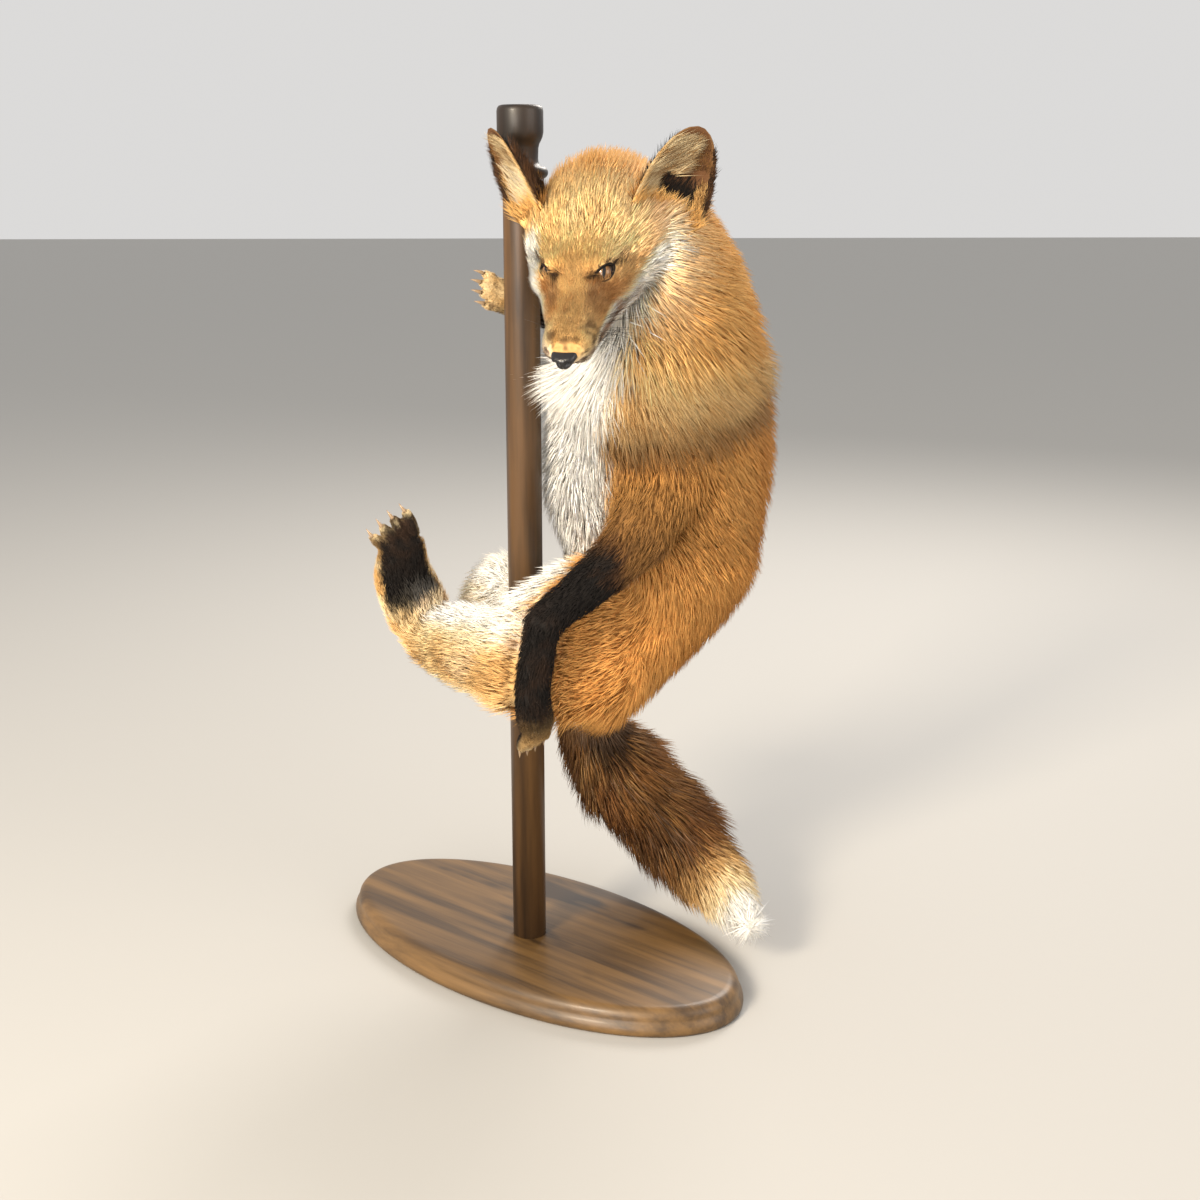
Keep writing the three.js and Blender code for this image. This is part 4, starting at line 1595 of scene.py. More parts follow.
@dataclass
class Skin:
    """The one hide under the coat, from the tip of the nose to the tip of the tail."""

    skeleton: Skeleton
    cell: float = 3.8  # the grid the hide is drawn from, mm
    block: int = 4  # cells in a side of the blocks that are tried first
    # painted shade under the coat: the hide is darker than the hairs over it
    shade: float = 0.86  # how bright it is, of the hairs over it
    settle: int = 2  # steps that draw its points on to the limbs' surface
    face: Point = (-24.0, 48.0, 34.0)  # the face starts so far forward and reaches so far out, mm
    skull: Point = (-100.0, 76.0, 62.0)

    def extract(self) -> tuple[Array, Array]:
        """Draws the hide from an even grid.

        Returns:
            Points and faces of four where the distance is zero.
        """
        boxes = [limb.box(9.0) for limb in self.skeleton.limbs]
        low = np.min([b[0] for b in boxes], axis=0)
        rough = np.ceil((np.max([b[1] for b in boxes], axis=0) - low)
                        / (self.cell * self.block)).astype(int)
        index = np.indices(rough).reshape(3, -1).T
        middle = low + (index + 0.5) * self.cell * self.block
        near = np.abs(self.skeleton.distance(middle)) < self.cell * self.block * 1.3
        fine = np.indices((self.block,) * 3).reshape(3, -1).T
        cells = (index[near][:, None] * self.block + fine[None]).reshape(-1, 3)
        values = np.full(rough * self.block, FAR, np.float32)
        inner = index[~near & (self.skeleton.distance(middle) < 0)]
        for i, j, k in inner * self.block:
            values[i:i + self.block, j:j + self.block, k:k + self.block] = -FAR
        values[tuple(cells.T)] = self.skeleton.distance(low + cells * self.cell)
        field_ = openvdb.FloatGrid()
        field_.background = FAR
        field_.copyFromArray(np.clip(values, -FAR, FAR))
        points, quads = field_.convertToQuads(isovalue=0.0)
        return low + points.astype(float) * self.cell, quads.astype(int)

    def within(self, p: Array, region: Point) -> Array:
        """Whether points of the head are forward of a plane and near enough to its middle."""
        f, left, u = np.abs(HEAD.local(p)).T
        return (HEAD.local(p)[:, 0] > region[0]) & (f < 105.0) & (left < region[1]) & (u < region[2])

    def settled(self, p: Array, steps: int) -> Array:
        """Draws points on to the limbs' surface.

        Args:
            p: Rows of points, mm.
            steps: How often they are moved.

        Returns:
            The moved points.
        """
        for _ in range(steps):
            gap = np.clip(self.skeleton.distance(p), -self.cell, self.cell)
            p = p - self.skeleton.gradient(p) * gap[:, None]
        return p

    def refine(self, p: Array, quads: Array, keep: Callable[[Array], Array]) -> Shell:
        """Cuts the faces of one region in four.

        Args:
            p: Points.
            quads: Faces.
            keep: Says for each point whether it is in the region.

        Returns:
            The finer shell, whose border faces are triangles.
        """
        inside = keep(p)
        cut = inside[quads].all(axis=1)
        chosen = quads[cut]
        sides = np.sort([chosen[:, [i, (i + 1) % 4]] for i in range(4)], axis=-1)
        unique, index = np.unique(sides.reshape(-1, 2), axis=0, return_inverse=True)
        index = index.reshape(4, -1).T + len(p)
        middles = p[unique].mean(axis=1)
        centres = p[chosen].mean(axis=1)
        hub = np.arange(len(chosen)) + len(p) + len(unique)
        parts = [np.column_stack([chosen[:, i], index[:, i], hub, index[:, i - 1]]) for i in range(4)]
        lookup = {tuple(k): len(p) + n for n, k in enumerate(unique.tolist())}
        rest, tris, hubs = [], [], []
        border = inside[quads].any(axis=1) & ~cut
        for q in quads[border].tolist():
            ring = []
            for i in range(4):
                ring.append(q[i])
                extra = lookup.get(tuple(sorted((q[i], q[(i + 1) % 4]))))
                if extra is not None:
                    ring.append(extra)
            if len(ring) == 4:
                rest.append(q)
            elif len(ring) == 5:
                tris.extend((ring[0], ring[i], ring[i + 1]) for i in range(1, 4))
            else:
                centre = len(p) + len(unique) + len(centres) + len(hubs)
                hubs.append(p[q].mean(axis=0))
                tris.extend((centre, ring[i], ring[(i + 1) % len(ring)]) for i in range(len(ring)))
        points = np.vstack([p, middles, centres, np.reshape(hubs, (-1, 3))])
        whole = np.vstack([*parts, quads[~cut & ~border], np.array(rest, int).reshape(-1, 4)])
        return Shell(points, whole, np.array(tris, int).reshape(-1, 3))

    def shell(self) -> Shell:
        """The hide, fine at the head and finer at the face.

        Returns:
            Its shell, with the markings of the coat.
        """
        p, quads = self.extract()
        p = self.settled(p, self.settle)
        tris = np.zeros((0, 3), int)
        for region in (self.skull, self.face):
            made = self.refine(p, quads, lambda q: self.within(q, region))
            tris = np.vstack([tris, made.tris])
            p, quads = made.points, made.quads
            moved = np.flatnonzero(self.within(p, tuple(np.add(region, (-9, 9, 9)))))
            p[moved] = self.settled(p[moved], 1)
        for eye in EYES:
            p = eye.fit(p)
        return Shell(p, quads, tris, self.skeleton.survey(p).colour * self.shade)


# ---- finishes


Tree = bpy.types.NodeTree
Socket = bpy.types.NodeSocket
Inputs = dict[str | int, object]


class Bench:
    """A node tree in the making."""

    def __init__(self, tree: Tree) -> None:
        """Takes the tree to work on."""
        self.tree = tree

    def feed(self, node: bpy.types.Node, inputs: Inputs) -> bpy.types.Node:
        """Fills the inputs of a node.

        Args:
            node: The node.
            inputs: What goes into each: another node's output is linked to it, and a number or
                a colour is set on the socket itself.

        Returns:
            The node.
        """
        for label, value in inputs.items():
            if isinstance(value, Socket):
                self.tree.links.new(value, node.inputs[label])
            else:
                node.inputs[label].default_value = value
        return node

    def node(self, kind: str, inputs: Inputs) -> bpy.types.Node:
        """Adds a shader node with its inputs filled."""
        return self.feed(self.tree.nodes.new(f"ShaderNode{kind}"), inputs)

    def place(self) -> Socket:
        """The place on the object."""
        return self.node("TexCoord", {}).outputs["Object"]

    def tint(self) -> Socket:
        """The colours that the mesh carries."""
        node = self.node("Attribute", {})
        node.attribute_name = "tint"
        return node.outputs["Color"]

    def bump(self, height: Socket, strength: float, depth: float) -> Socket:
        """The normals of a relief, whose depth is in metres."""
        inputs = {"Height": height, "Strength": strength, "Distance": depth}
        return self.node("Bump", inputs).outputs["Normal"]

    def mix(self, a: Socket, b: Socket, share: Socket | float, how: str = "MIX") -> Socket:
        """Two colours mixed, by how much of the second shows."""
        node = self.node("Mix", {})
        node.data_type, node.blend_type = "RGBA", how
        return self.feed(node, {"Factor": share, "A": a, "B": b}).outputs["Result"]

    def worked(self, how: str, a: Socket, b: Socket | float) -> Socket:
        """A sum, difference or product of two values."""
        node = self.node("Math", {})
        node.operation = how
        return self.feed(node, {0: a, 1: b}).outputs[0]

    def spread(self, value: Socket, low: float, high: float) -> Socket:
        """A value from low to high, spread over 0 to 1."""
        inputs = {"Value": value, "From Min": low, "From Max": high}
        return self.node("MapRange", inputs).outputs[0]


class Finish(Bench):
    """A material in the making, round its Principled shader."""

    def __init__(self, name: str) -> None:
        """Makes the empty material."""
        self.material = bpy.data.materials.new(name)
        self.material.use_nodes = True
        super().__init__(self.material.node_tree)

    def done(self, inputs: Inputs) -> Material:
        """The material, with the inputs of its shader filled."""
        self.feed(self.tree.nodes["Principled BSDF"], inputs)
        return self.material


@dataclass(frozen=True)
class Hide:
    """The coat's finish: its colours are in the mesh, its fine hairs are bump."""

    name: str = "fox_fur"
    roughness: float = 0.78
    gloss: float = 0.25
    grain: float = 900.0  # bumps a metre
    strength: float = 0.35
    relief: float = 0.0008  # m

    def material(self) -> Material:
        """Builds the material."""
        finish = Finish(self.name)
        hairs = finish.node("TexNoise", {"Vector": finish.place(), "Scale": self.grain})
        return finish.done({
            "Base Color": finish.tint(),
            "Roughness": self.roughness,
            "Specular IOR Level": self.gloss,
            "Normal": finish.bump(hairs.outputs["Fac"], self.strength, self.relief),
        })


@dataclass(frozen=True)
class Plain:
    """A finish of one colour."""

    name: str
    colour: Colour
    roughness: float
    coat: float = 0.0
    coat_roughness: float = 0.08

    def material(self) -> Material:
        """Builds the material."""
        return Finish(self.name).done({
            "Base Color": (*linear(self.colour), 1.0),
            "Roughness": self.roughness,
            "Coat Weight": self.coat,
            "Coat Roughness": self.coat_roughness,
        })


class GrainGroup:
    """Wood grain as a shader group: long streaks, fine pores and a few dark knots."""

    name = "wood_grain"
    inputs = {"Vector": "Vector", "Dark": "Color", "Light": "Color", "Streaks": "Float",
              "Knots": "Float"}
    outputs = {"Color": "Color", "Height": "Float"}

    @classmethod
    def tree(cls) -> Tree:
        """The group, built once."""
        return bpy.data.node_groups.get(cls.name) or cls.build()

    @classmethod
    def build(cls) -> Tree:
        """Makes the group.

        Returns:
            Its tree.
        """
        tree = bpy.data.node_groups.new(cls.name, "ShaderNodeTree")
        for sockets, way in ((cls.inputs, "INPUT"), (cls.outputs, "OUTPUT")):
            for label, kind in sockets.items():
                tree.interface.new_socket(label, in_out=way, socket_type=f"NodeSocket{kind}")
        bench = Bench(tree)
        given = tree.nodes.new("NodeGroupInput").outputs

        def layer(along: float, scale: float, detail: float) -> Socket:
            """One noise, drawn out along the grain."""
            place = bench.node("Mapping", {"Vector": given["Vector"], "Scale": (1.0, 1.0, along)})
            inputs = {"Vector": place.outputs["Vector"], "Scale": scale, "Detail": detail}
            return bench.node("TexNoise", inputs).outputs["Fac"]

        pores = layer(0.04, 420.0, 2.0)
        streaks = bench.spread(layer(0.06, 70.0, 4.0), 0.36, 0.64)
        knots = bench.spread(layer(0.35, 16.0, 3.0), 0.60, 0.74)
        light = bench.worked("ADD", bench.worked("MULTIPLY", streaks, given["Streaks"]),
                             bench.worked("MULTIPLY", pores, 0.35))
        light = bench.worked("SUBTRACT", light, bench.worked("MULTIPLY", knots, given["Knots"]))
        colour = bench.mix(given["Dark"], given["Light"], light)
        bench.feed(tree.nodes.new("NodeGroupOutput"), {"Color": colour, "Height": pores})
        tree.nodes.update()
        return tree


@dataclass(frozen=True)
class Wood:
    """Stained wood under varnish, with the grain along one direction."""

    name: str
    dark: Colour
    light: Colour
    turn: Point  # turns the grain from +Z, degrees
    streaks: float = 0.8
    knots: float = 0.6
    roughness: float = 0.48
    varnish: float = 0.12
    varnish_roughness: float = 0.2
    strength: float = 0.2
    relief: float = 0.0003  # m

    def material(self) -> Material:
        """Builds the material.

        Returns:
            The material, which multiplies the grain by the mesh's colours.
        """
        finish = Finish(self.name)
        turn = finish.node("Mapping", {
            "Vector": finish.place(), "Rotation": tuple(math.radians(a) for a in self.turn),
        })
        grain = finish.node("Group", {})
        grain.node_tree = GrainGroup.tree()
        finish.feed(grain, {
            "Vector": turn.outputs["Vector"],
            "Dark": (*linear(self.dark), 1.0),
            "Light": (*linear(self.light), 1.0),
            "Streaks": self.streaks,
            "Knots": self.knots,
        })
        return finish.done({
            "Base Color": finish.mix(grain.outputs["Color"], finish.tint(), 1.0, "MULTIPLY"),
            "Roughness": self.roughness,
            "Coat Weight": self.varnish,
            "Coat Roughness": self.varnish_roughness,
            "Normal": finish.bump(grain.outputs["Height"], self.strength, self.relief),
        })


@dataclass(frozen=True)
class Leather:
    """The bare black pad of the nose."""

    name: str = "nose_leather"
    colour: Colour = (17, 15, 16)
    roughness: float = 0.32
    coat: float = 0.25
    coat_roughness: float = 0.2
    pebbles: float = 1100.0  # a metre
    strength: float = 0.5
    relief: float = 0.0003  # m

    def material(self) -> Material:
        """Builds the material."""
        finish = Finish(self.name)
        pebble = finish.node("TexVoronoi", {"Vector": finish.place(), "Scale": self.pebbles})
        return finish.done({
            "Base Color": (*linear(self.colour), 1.0),
            "Roughness": self.roughness,
            "Coat Weight": self.coat,
            "Coat Roughness": self.coat_roughness,
            "Normal": finish.bump(pebble.outputs["Distance"], self.strength, self.relief),
        })


@dataclass(frozen=True)
class EyeGlass:
    """An amber glass eye whose iris and slit are in the mesh's colours, under a clear gloss."""

    name: str = "eye_glass"
    iris: float = 0.66  # radius of the iris, of the ball's
    slit: float = 0.15
    slit_height: float = 0.52
    roughness: float = 0.25
    coat: float = 0.4
    coat_roughness: float = 0.03

    def paint(self, place: Array) -> Array:
        """Colours of points of the ball.

        Args:
            place: Rows of along, high and out, one long.

        Returns:
            Rows of colours.
        """
        x, y, out = place.T
        far = np.hypot(x, y)
        spokes = noise(np.column_stack([np.arctan2(y, x) * 9.0, far * 2.0, 0 * x]), 1.0, 301)
        waist = self.slit * np.sqrt(np.maximum(1.0 - (y / self.slit_height) ** 2, 0.0))
        pupil = ramp(np.abs(x) - waist, 0.02, -0.02) * (np.abs(y) < self.slit_height)
        c = layered(
            Iris.AMBER, place,
            (Iris.HONEY, ramp(far, 0.5, 0.15) * 0.7),
            (Iris.UMBER, 0.35 + 0.35 * spokes),
            (Iris.DARK, ramp(far, 0.5, self.iris)),
            (Iris.RING, ramp(far, self.iris - 0.04, self.iris + 0.04)),
            (Iris.PUPIL, pupil),
        )
        return np.where((out < 0.1)[:, None], Iris.RING.rgb, c)

    def material(self) -> Material:
        """Builds the material."""
        finish = Finish(self.name)
        return finish.done({
            "Base Color": finish.tint(),
            "Roughness": self.roughness,
            "Coat Weight": self.coat,
            "Coat Roughness": self.coat_roughness,
        })


# ---- the coat


@dataclass
class Tufts:
    """Closed tapered tufts, drawn as one mesh.

    A spindle rises from a point to a three-cornered waist, where it bends, and ends in a point.
    A spike has a three-cornered foot and a point.
    """

    root: Array
    middle: Array
    tip: Array
    side: Array  # across the tuft, one long
    width: Array
    colour: Array  # of the tip
    # painted shade at the foot of each tuft, where the tufts shade one another
    shade: Array  # how dark the foot is
    patch: Array  # place of each tuft on the unwrapped hide, 0 to 1
    spike: bool = False
    thick: float = 0.4  # of the width
    patch_size: float = 0.003

    def shell(self) -> tuple[Shell, Array]:
        """Draws the tufts.

        Returns:
            Their mesh, and the place of each of its points on the unwrapped hide.
        """
        n = len(self.root)
        waist = self.root if self.spike else self.middle
        way = unit(self.tip - self.root)
        side = tangential(self.side, way)
        up = np.cross(side, way)
        half = (self.width * 0.5)[:, None]
        ring = [waist - side * half, waist + up * half * 2 * self.thick, waist + side * half]
        faces = [(0, 2, 1), (0, 1, 3), (1, 2, 3), (2, 0, 3)]
        heights, across = [0.0, 0.0, 0.0, 1.0], [-0.5, 0.0, 0.5, 0.0]
        points = [*ring, self.tip]
        if not self.spike:
            points.append(self.root)
            faces = faces[1:] + [(1, 0, 4), (2, 1, 4), (0, 2, 4)]
            heights, across = [0.5, 0.5, 0.5, 1.0, 0.0], [*across, 0.0]
        stacked = np.stack(points, axis=1)
        each = stacked.shape[1]
        first = (np.arange(n) * each)[:, None]
        tris = np.vstack([first + np.array(face) for face in faces])
        # painted shade: from the darker foot up to the full colour at the tip
        level = np.array(heights)[None, :, None]
        bright = self.shade[:, None, None] * (1 - level) + level
        colour = np.clip(self.colour[:, None, :] * bright, 0, 1)
        spread = np.stack([np.array(across), np.array(heights) - 0.5], axis=-1) * self.patch_size
        uv = np.clip(self.patch[:, None, :] + spread[None], 0.0, 1.0)
        made = Shell(stacked.reshape(-1, 3), tris=tris, colour=colour.reshape(-1, 3))
        return made, uv.reshape(-1, 2)


def mapped(shell: Shell, uv: Array, name: str, material: Material) -> Piece:
    """Makes the object of a piece of the coat, with its UV map.

    Args:
        shell: Its tufts.
        uv: The place of each point on the unwrapped hide.
        name: The piece's name.
        material: Its finish.

    Returns:
        The piece.
    """
    piece = shell.object(name, material)
    corners = np.empty(len(piece.data.loops), np.int32)
    piece.data.loops.foreach_get("vertex_index", corners)
    layer = piece.data.uv_layers.new(name="OFBake")
    layer.uv.foreach_set("vector", uv[corners].astype(np.float32).ravel())
    return piece


@dataclass(frozen=True)
class Cut:
    """How one sort of tuft is shaped and coloured."""

    faces: int
    stray: float  # how far one turns from the lie of the fur
    bright: float
    uneven: float  # how much one differs from the next in brightness
    # foot is the painted shade at the foot of a tuft
    foot: float  # the brightness of its foot, of its tip's
    width: float  # mm, for a hair 1 mm long


class Sort(Enum):
    """The sorts of tuft of the body."""

    SPINDLE = Cut(6, 0.14, 1.04, 0.11, 0.72, 0.20)
    SPIKE = Cut(4, 0.24, 1.15, 0.17, 0.48, 0.24)


@dataclass(frozen=True)
class Fleece:
    """One piece of the coat: which limbs it covers and how many triangles it may use."""

    name: str
    limbs: tuple[str, ...]
    triangles: int
    slot: str
    sort: Sort = Sort.SPINDLE
    keep: Callable[[Array], Array] = lambda p: np.ones(len(p), bool)
    fringe: float = 0.0  # how far the tips stand off at the end of its limb, mm


def is_face(p: Array) -> Array:
    """Whether points of the head are on the face, with a ragged border."""
    return HEAD.local(p)[:, 0] > -26.0 + 26.0 * noise(p, 2.2, 77)


FLEECES = (
    Fleece("fur_face", ("head", "muzzle", "lower_jaw"), 190_000, "fur_gold", Sort.SPIKE, is_face),
    Fleece("fur_crown", ("head", "lower_jaw", "muzzle"), 190_000, "fur_gold", keep=lambda p: ~is_face(p)),
    Fleece("fur_neck", ("neck",), 198_000, "fur_orange", fringe=11.0),
    Fleece("fur_chest", ("chest",), 198_000, "fur_orange"),
    Fleece("fur_belly", ("belly",), 180_000, "fur_orange"),
    Fleece("fur_forelegs", ("upper_arm", "forearm", "forepaw"), 110_000, "fur_brown"),
    Fleece("fur_hindlegs", ("thigh", "groin", "shank", "hindfoot"), 195_000, "fur_cream"),
    Fleece("fur_tail", ("tail",), 150_000, "fur_brown"),
)


@dataclass
class Coat:
    """The whole coat, grown on the skin piece by piece."""

    skeleton: Skeleton
    ears: list[Ear]
    hide: Shell
    seed: int = 20
    sunk: float = 0.8  # how deep the feet of the tufts are in the skin, mm
    clump: float = 9.0  # width of a lock, mm
    pull: float = 0.55  # how far the tips of a lock of long hairs draw together
    pole: float = 16.4  # hairs stay so far from the pole's middle, mm
    bead: float = 730.0  # up to the bead
    ground: float = 26.0  # and so far above the floor
    bare: float = 5.0  # degrees round the lids without hair

    def clear(self, p: Array) -> Array:
        """Keeps hairs out of the pole and the base.

        Args:
            p: Rows of points, mm.

        Returns:
            The same points, moved where they were inside.
        """
        p = p.copy()
        out = np.linalg.norm(p[:, :2], axis=1)
        inside = (out < self.pole) & (p[:, 2] < self.bead)
        p[inside, :2] *= (self.pole / np.maximum(out[inside], 1.0))[:, None]
        p[:, 2] = np.maximum(p[:, 2], self.ground)
        return p

    def roots(self, fleece: Fleece, count: int, rng: np.random.Generator) -> tuple[Array, Array]:
        """Random places on the skin, closer together where the hair is short.

        Args:
            fleece: The piece.
            count: How many places.
            rng: Where the random numbers come from.

        Returns:
            Rows of points and of the skin's normals there.
        """
        t = self.hide.triangles()
        p = self.hide.points
        middle = p[t].mean(axis=1)
        own = np.array([limb.name.startswith(fleece.limbs) for limb in self.skeleton.limbs])
        chosen = own[self.coat.limb[t[:, 0]]] & fleece.keep(middle)
        t = t[chosen]
        a, b, c = (p[t[:, i]] for i in range(3))
        area = 0.5 * np.linalg.norm(np.cross(b - a, c - a), axis=1)
        weight = area / np.maximum(self.coat.hair[t[:, 0]], 2.5)
        picked = rng.choice(len(t), count, p=weight / weight.sum())
        u = np.sqrt(rng.random((count, 1)))
        v = rng.random((count, 1))
        w = np.hstack([1 - u, u * (1 - v), u * v])[..., None]
        place = (p[t[picked]] * w).sum(axis=1)
        return place, unit((self.normals[t[picked]] * w).sum(axis=1))

    def patches(self, fleece: Fleece, found: Survey) -> Array:
        """Unwraps the skin, with one cell a limb, round it and along it.

        Args:
            fleece: The piece.
            found: The coat at its roots.

        Returns:
            Places from 0 to 1, one row a root.
        """
        used = [i for i, limb in enumerate(self.skeleton.limbs) if limb.name.startswith(fleece.limbs)]
        columns = math.ceil(math.sqrt(len(used)))
        cell = np.searchsorted(used, found.limb)
        margin = 0.05
        inner = np.column_stack([(found.round + 180) / 360, found.t]) * (1 - 2 * margin) + margin
        return (np.column_stack([cell % columns, cell // columns]) + inner) / columns

    def grow(self, fleece: Fleece, material: Material) -> Piece:
        """Makes one piece of the coat.

        Args:
            fleece: Which piece.
            material: Its finish.

        Returns:
            The piece.
        """
        cut = fleece.sort.value
        rng = np.random.default_rng(self.seed + len(fleece.name) * 7)
        root, normal = self.roots(fleece, fleece.triangles // cut.faces, rng)
        keep, short = self.spared(root)
        root, normal, short = root[keep], normal[keep], short[keep]
        n = len(root)
        found = self.skeleton.survey(root)
        flow = tangential(found.flow + 0.22 * noise_vector(root, 20.0, 101)
                          + cut.stray * rng.normal(size=(n, 3)), normal)
        hair = found.hair * (0.72 + 0.38 * rng.random(n)) * (1 + 0.15 * noise(root, 12.0, 107)) * short
        height = found.depth * (0.40 + 0.7 * rng.random(n) ** 1.4) * short
        height = np.minimum(height, 0.8 * hair)
        reach = np.sqrt(hair**2 - height**2)
        tip = root + normal * height[:, None] + flow * reach[:, None]
        middle = root + normal * (height * 0.62)[:, None] + flow * (reach * 0.43)[:, None]
        drift = self.lock(root, self.clump * np.clip(hair / 30.0, 0.25, 1.3)) - root
        drift -= normal * dot(drift, normal)[:, None]
        tip = tip + drift * (self.pull * ramp(hair, 4.0, 62.0))[:, None]
        room = self.skeleton.distance(tip)
        gap = np.clip(room - height - fleece.fringe * ramp(found.t, 0.6, 0.8), -12.0, 16.0)
        tip = tip - normal * (gap * 0.8)[:, None]
        middle = middle - normal * (np.clip(gap, -4, 8) * 0.3)[:, None]
        tone = cut.bright + cut.uneven * rng.normal(size=(n, 1)) + 0.12 * noise(root, 9.0, 111)[:, None]
        side = unit(np.cross(flow, normal) + 0.5 * rng.normal(size=(n, 3)))
        width = cut.width * np.sqrt(hair) * (0.8 + 0.4 * rng.random(n))
        # painted shade: the feet of the tufts are darker than the tips, less so on pale fur
        shade = cut.foot + 0.2 * rng.random(n) + 0.12 * found.colour.mean(axis=1)
        made, uv = Tufts(
            root=root - normal * self.sunk,
            middle=self.clear(middle),
            tip=self.clear(tip),
            side=side,
            width=width * (self.skeleton.distance(middle) > -1.5),
            colour=np.clip(found.colour * tone, 0.0, 1.0),
            shade=np.clip(shade, 0.0, 1.0),
            patch=self.patches(fleece, found),
            spike=fleece.sort is Sort.SPIKE,
        ).shell()
        return mapped(made, uv, fleece.name, material)

    def spared(self, root: Array) -> tuple[Array, Array]:
        """Clears the eyes and the nose pad.

        Args:
            root: Rows of places on the skin.

        Returns:
            Whether hair grows at each, and how much of its length it keeps.
        """
        keep, short = np.ones(len(root), bool), np.ones(len(root))
        for eye in EYES:
            over = eye.clearance(root)
            keep &= over > self.bare
            short = np.minimum(short, 0.45 + 0.55 * ramp(over, 4.0, 32.0))
        ahead, left, up = HEAD.local(root).T
        keep &= ~((ahead > 79.0) & (np.abs(left) < 20.0) & (np.abs(up) < 40.0))
        return keep, short

    def lock(self, root: Array, size: Array) -> Array:
        """Gathers roots in locks, by jittered cells of space.

        Args:
            root: Rows of points.
            size: The width of the lock at each, mm.

        Returns:
            The middle of each root's lock.
        """
        q = root / size[:, None]
        cell = np.floor(q)
        shift = np.stack([lattice(cell, 201 + i) for i in range(3)], axis=-1)
        return (cell + 0.25 + 0.5 * shift) * size[:, None]

    def build(self, material: Material) -> None:
        """Grows every piece and sets it on the body."""
        self.coat = self.skeleton.survey(self.hide.points)
        self.normals = self.hide.normals()
        for fleece in FLEECES:
            settle(self.grow(fleece, material), fleece.slot)
        settle(EarFur(self.ears).build(material), "fur_black")


@dataclass(frozen=True)
class EarZone:
    """One sort of hair of the ears: where it grows on the leaf, its length, lie and colours."""

    share: float
    up: tuple[float, float]  # from the ear's root 0 to its tip 1
    across: tuple[float, float]  # from the edge by the crown 0 to the outer edge 1
    front: float
    hair: float
    height: float
    outward: float  # how much it leans away from the middle of the ear
    colours: tuple[Fur, Fur]
    sides: tuple[int, ...] = (1, -1)  # the ears that have it


EAR_ZONES = (
    EarZone(0.22, (0.12, 0.99), (0.0, 1.0), -0.5, 9.0, 0.42, 0.35, (Fur.BLACK, Fur.BLACK)),
    EarZone(0.14, (0.05, 0.85), (0.0, 0.3), -0.5, 21.0, 0.4, 1.1, (Fur.BLACK, Fur.BROWN), (-1,)),
    EarZone(0.07, (-0.05, 0.2), (0.0, 1.0), -0.5, 15.0, 0.4, 0.3, (Fur.ORANGE, Fur.BROWN)),
    EarZone(0.11, (0.02, 0.97), (0.0, 0.05), 0.5, 8.0, 0.3, 0.1, (Fur.CREAM, Fur.TAN)),
    EarZone(0.10, (0.15, 0.98), (0.93, 1.0), 0.5, 7.0, 0.35, 0.5, (Fur.BROWN, Fur.BLACK)),
    EarZone(0.09, (0.0, 0.5), (0.02, 0.22), 0.5, 13.0, 0.25, -0.4, (Fur.CREAM, Fur.OLIVE)),
    EarZone(0.16, (0.35, 0.92), (0.02, 0.5), 0.5, 22.0, 0.28, -0.6, (Fur.CREAM, Fur.OLIVE)),
    EarZone(0.05, (0.0, 0.5), (0.86, 0.97), 0.5, 9.0, 0.25, -0.2, (Fur.TAN, Fur.OLIVE)),
    EarZone(0.07, (0.5, 0.97), (0.4, 0.95), 0.5, 8.0, 0.2, 0.0, (Fur.OLIVE, Fur.BROWN)),
    # painted shade: black hairs in the hollow low in the near ear's cup
    EarZone(0.10, (0.0, 0.5), (0.3, 0.85), 0.5, 9.0, 0.2, 0.0, (Fur.BLACK, Fur.BLACK), (1,)),
    EarZone(0.14, (0.0, 0.65), (0.2, 0.9), 0.5, 15.0, 0.3, 0.0, (Fur.CREAM, Fur.SILVER), (-1,)),
    EarZone(0.07, (-0.12, 0.1), (0.0, 1.0), 0.5, 15.0, 0.35, 0.0, (Fur.GOLD, Fur.APRICOT)),
)


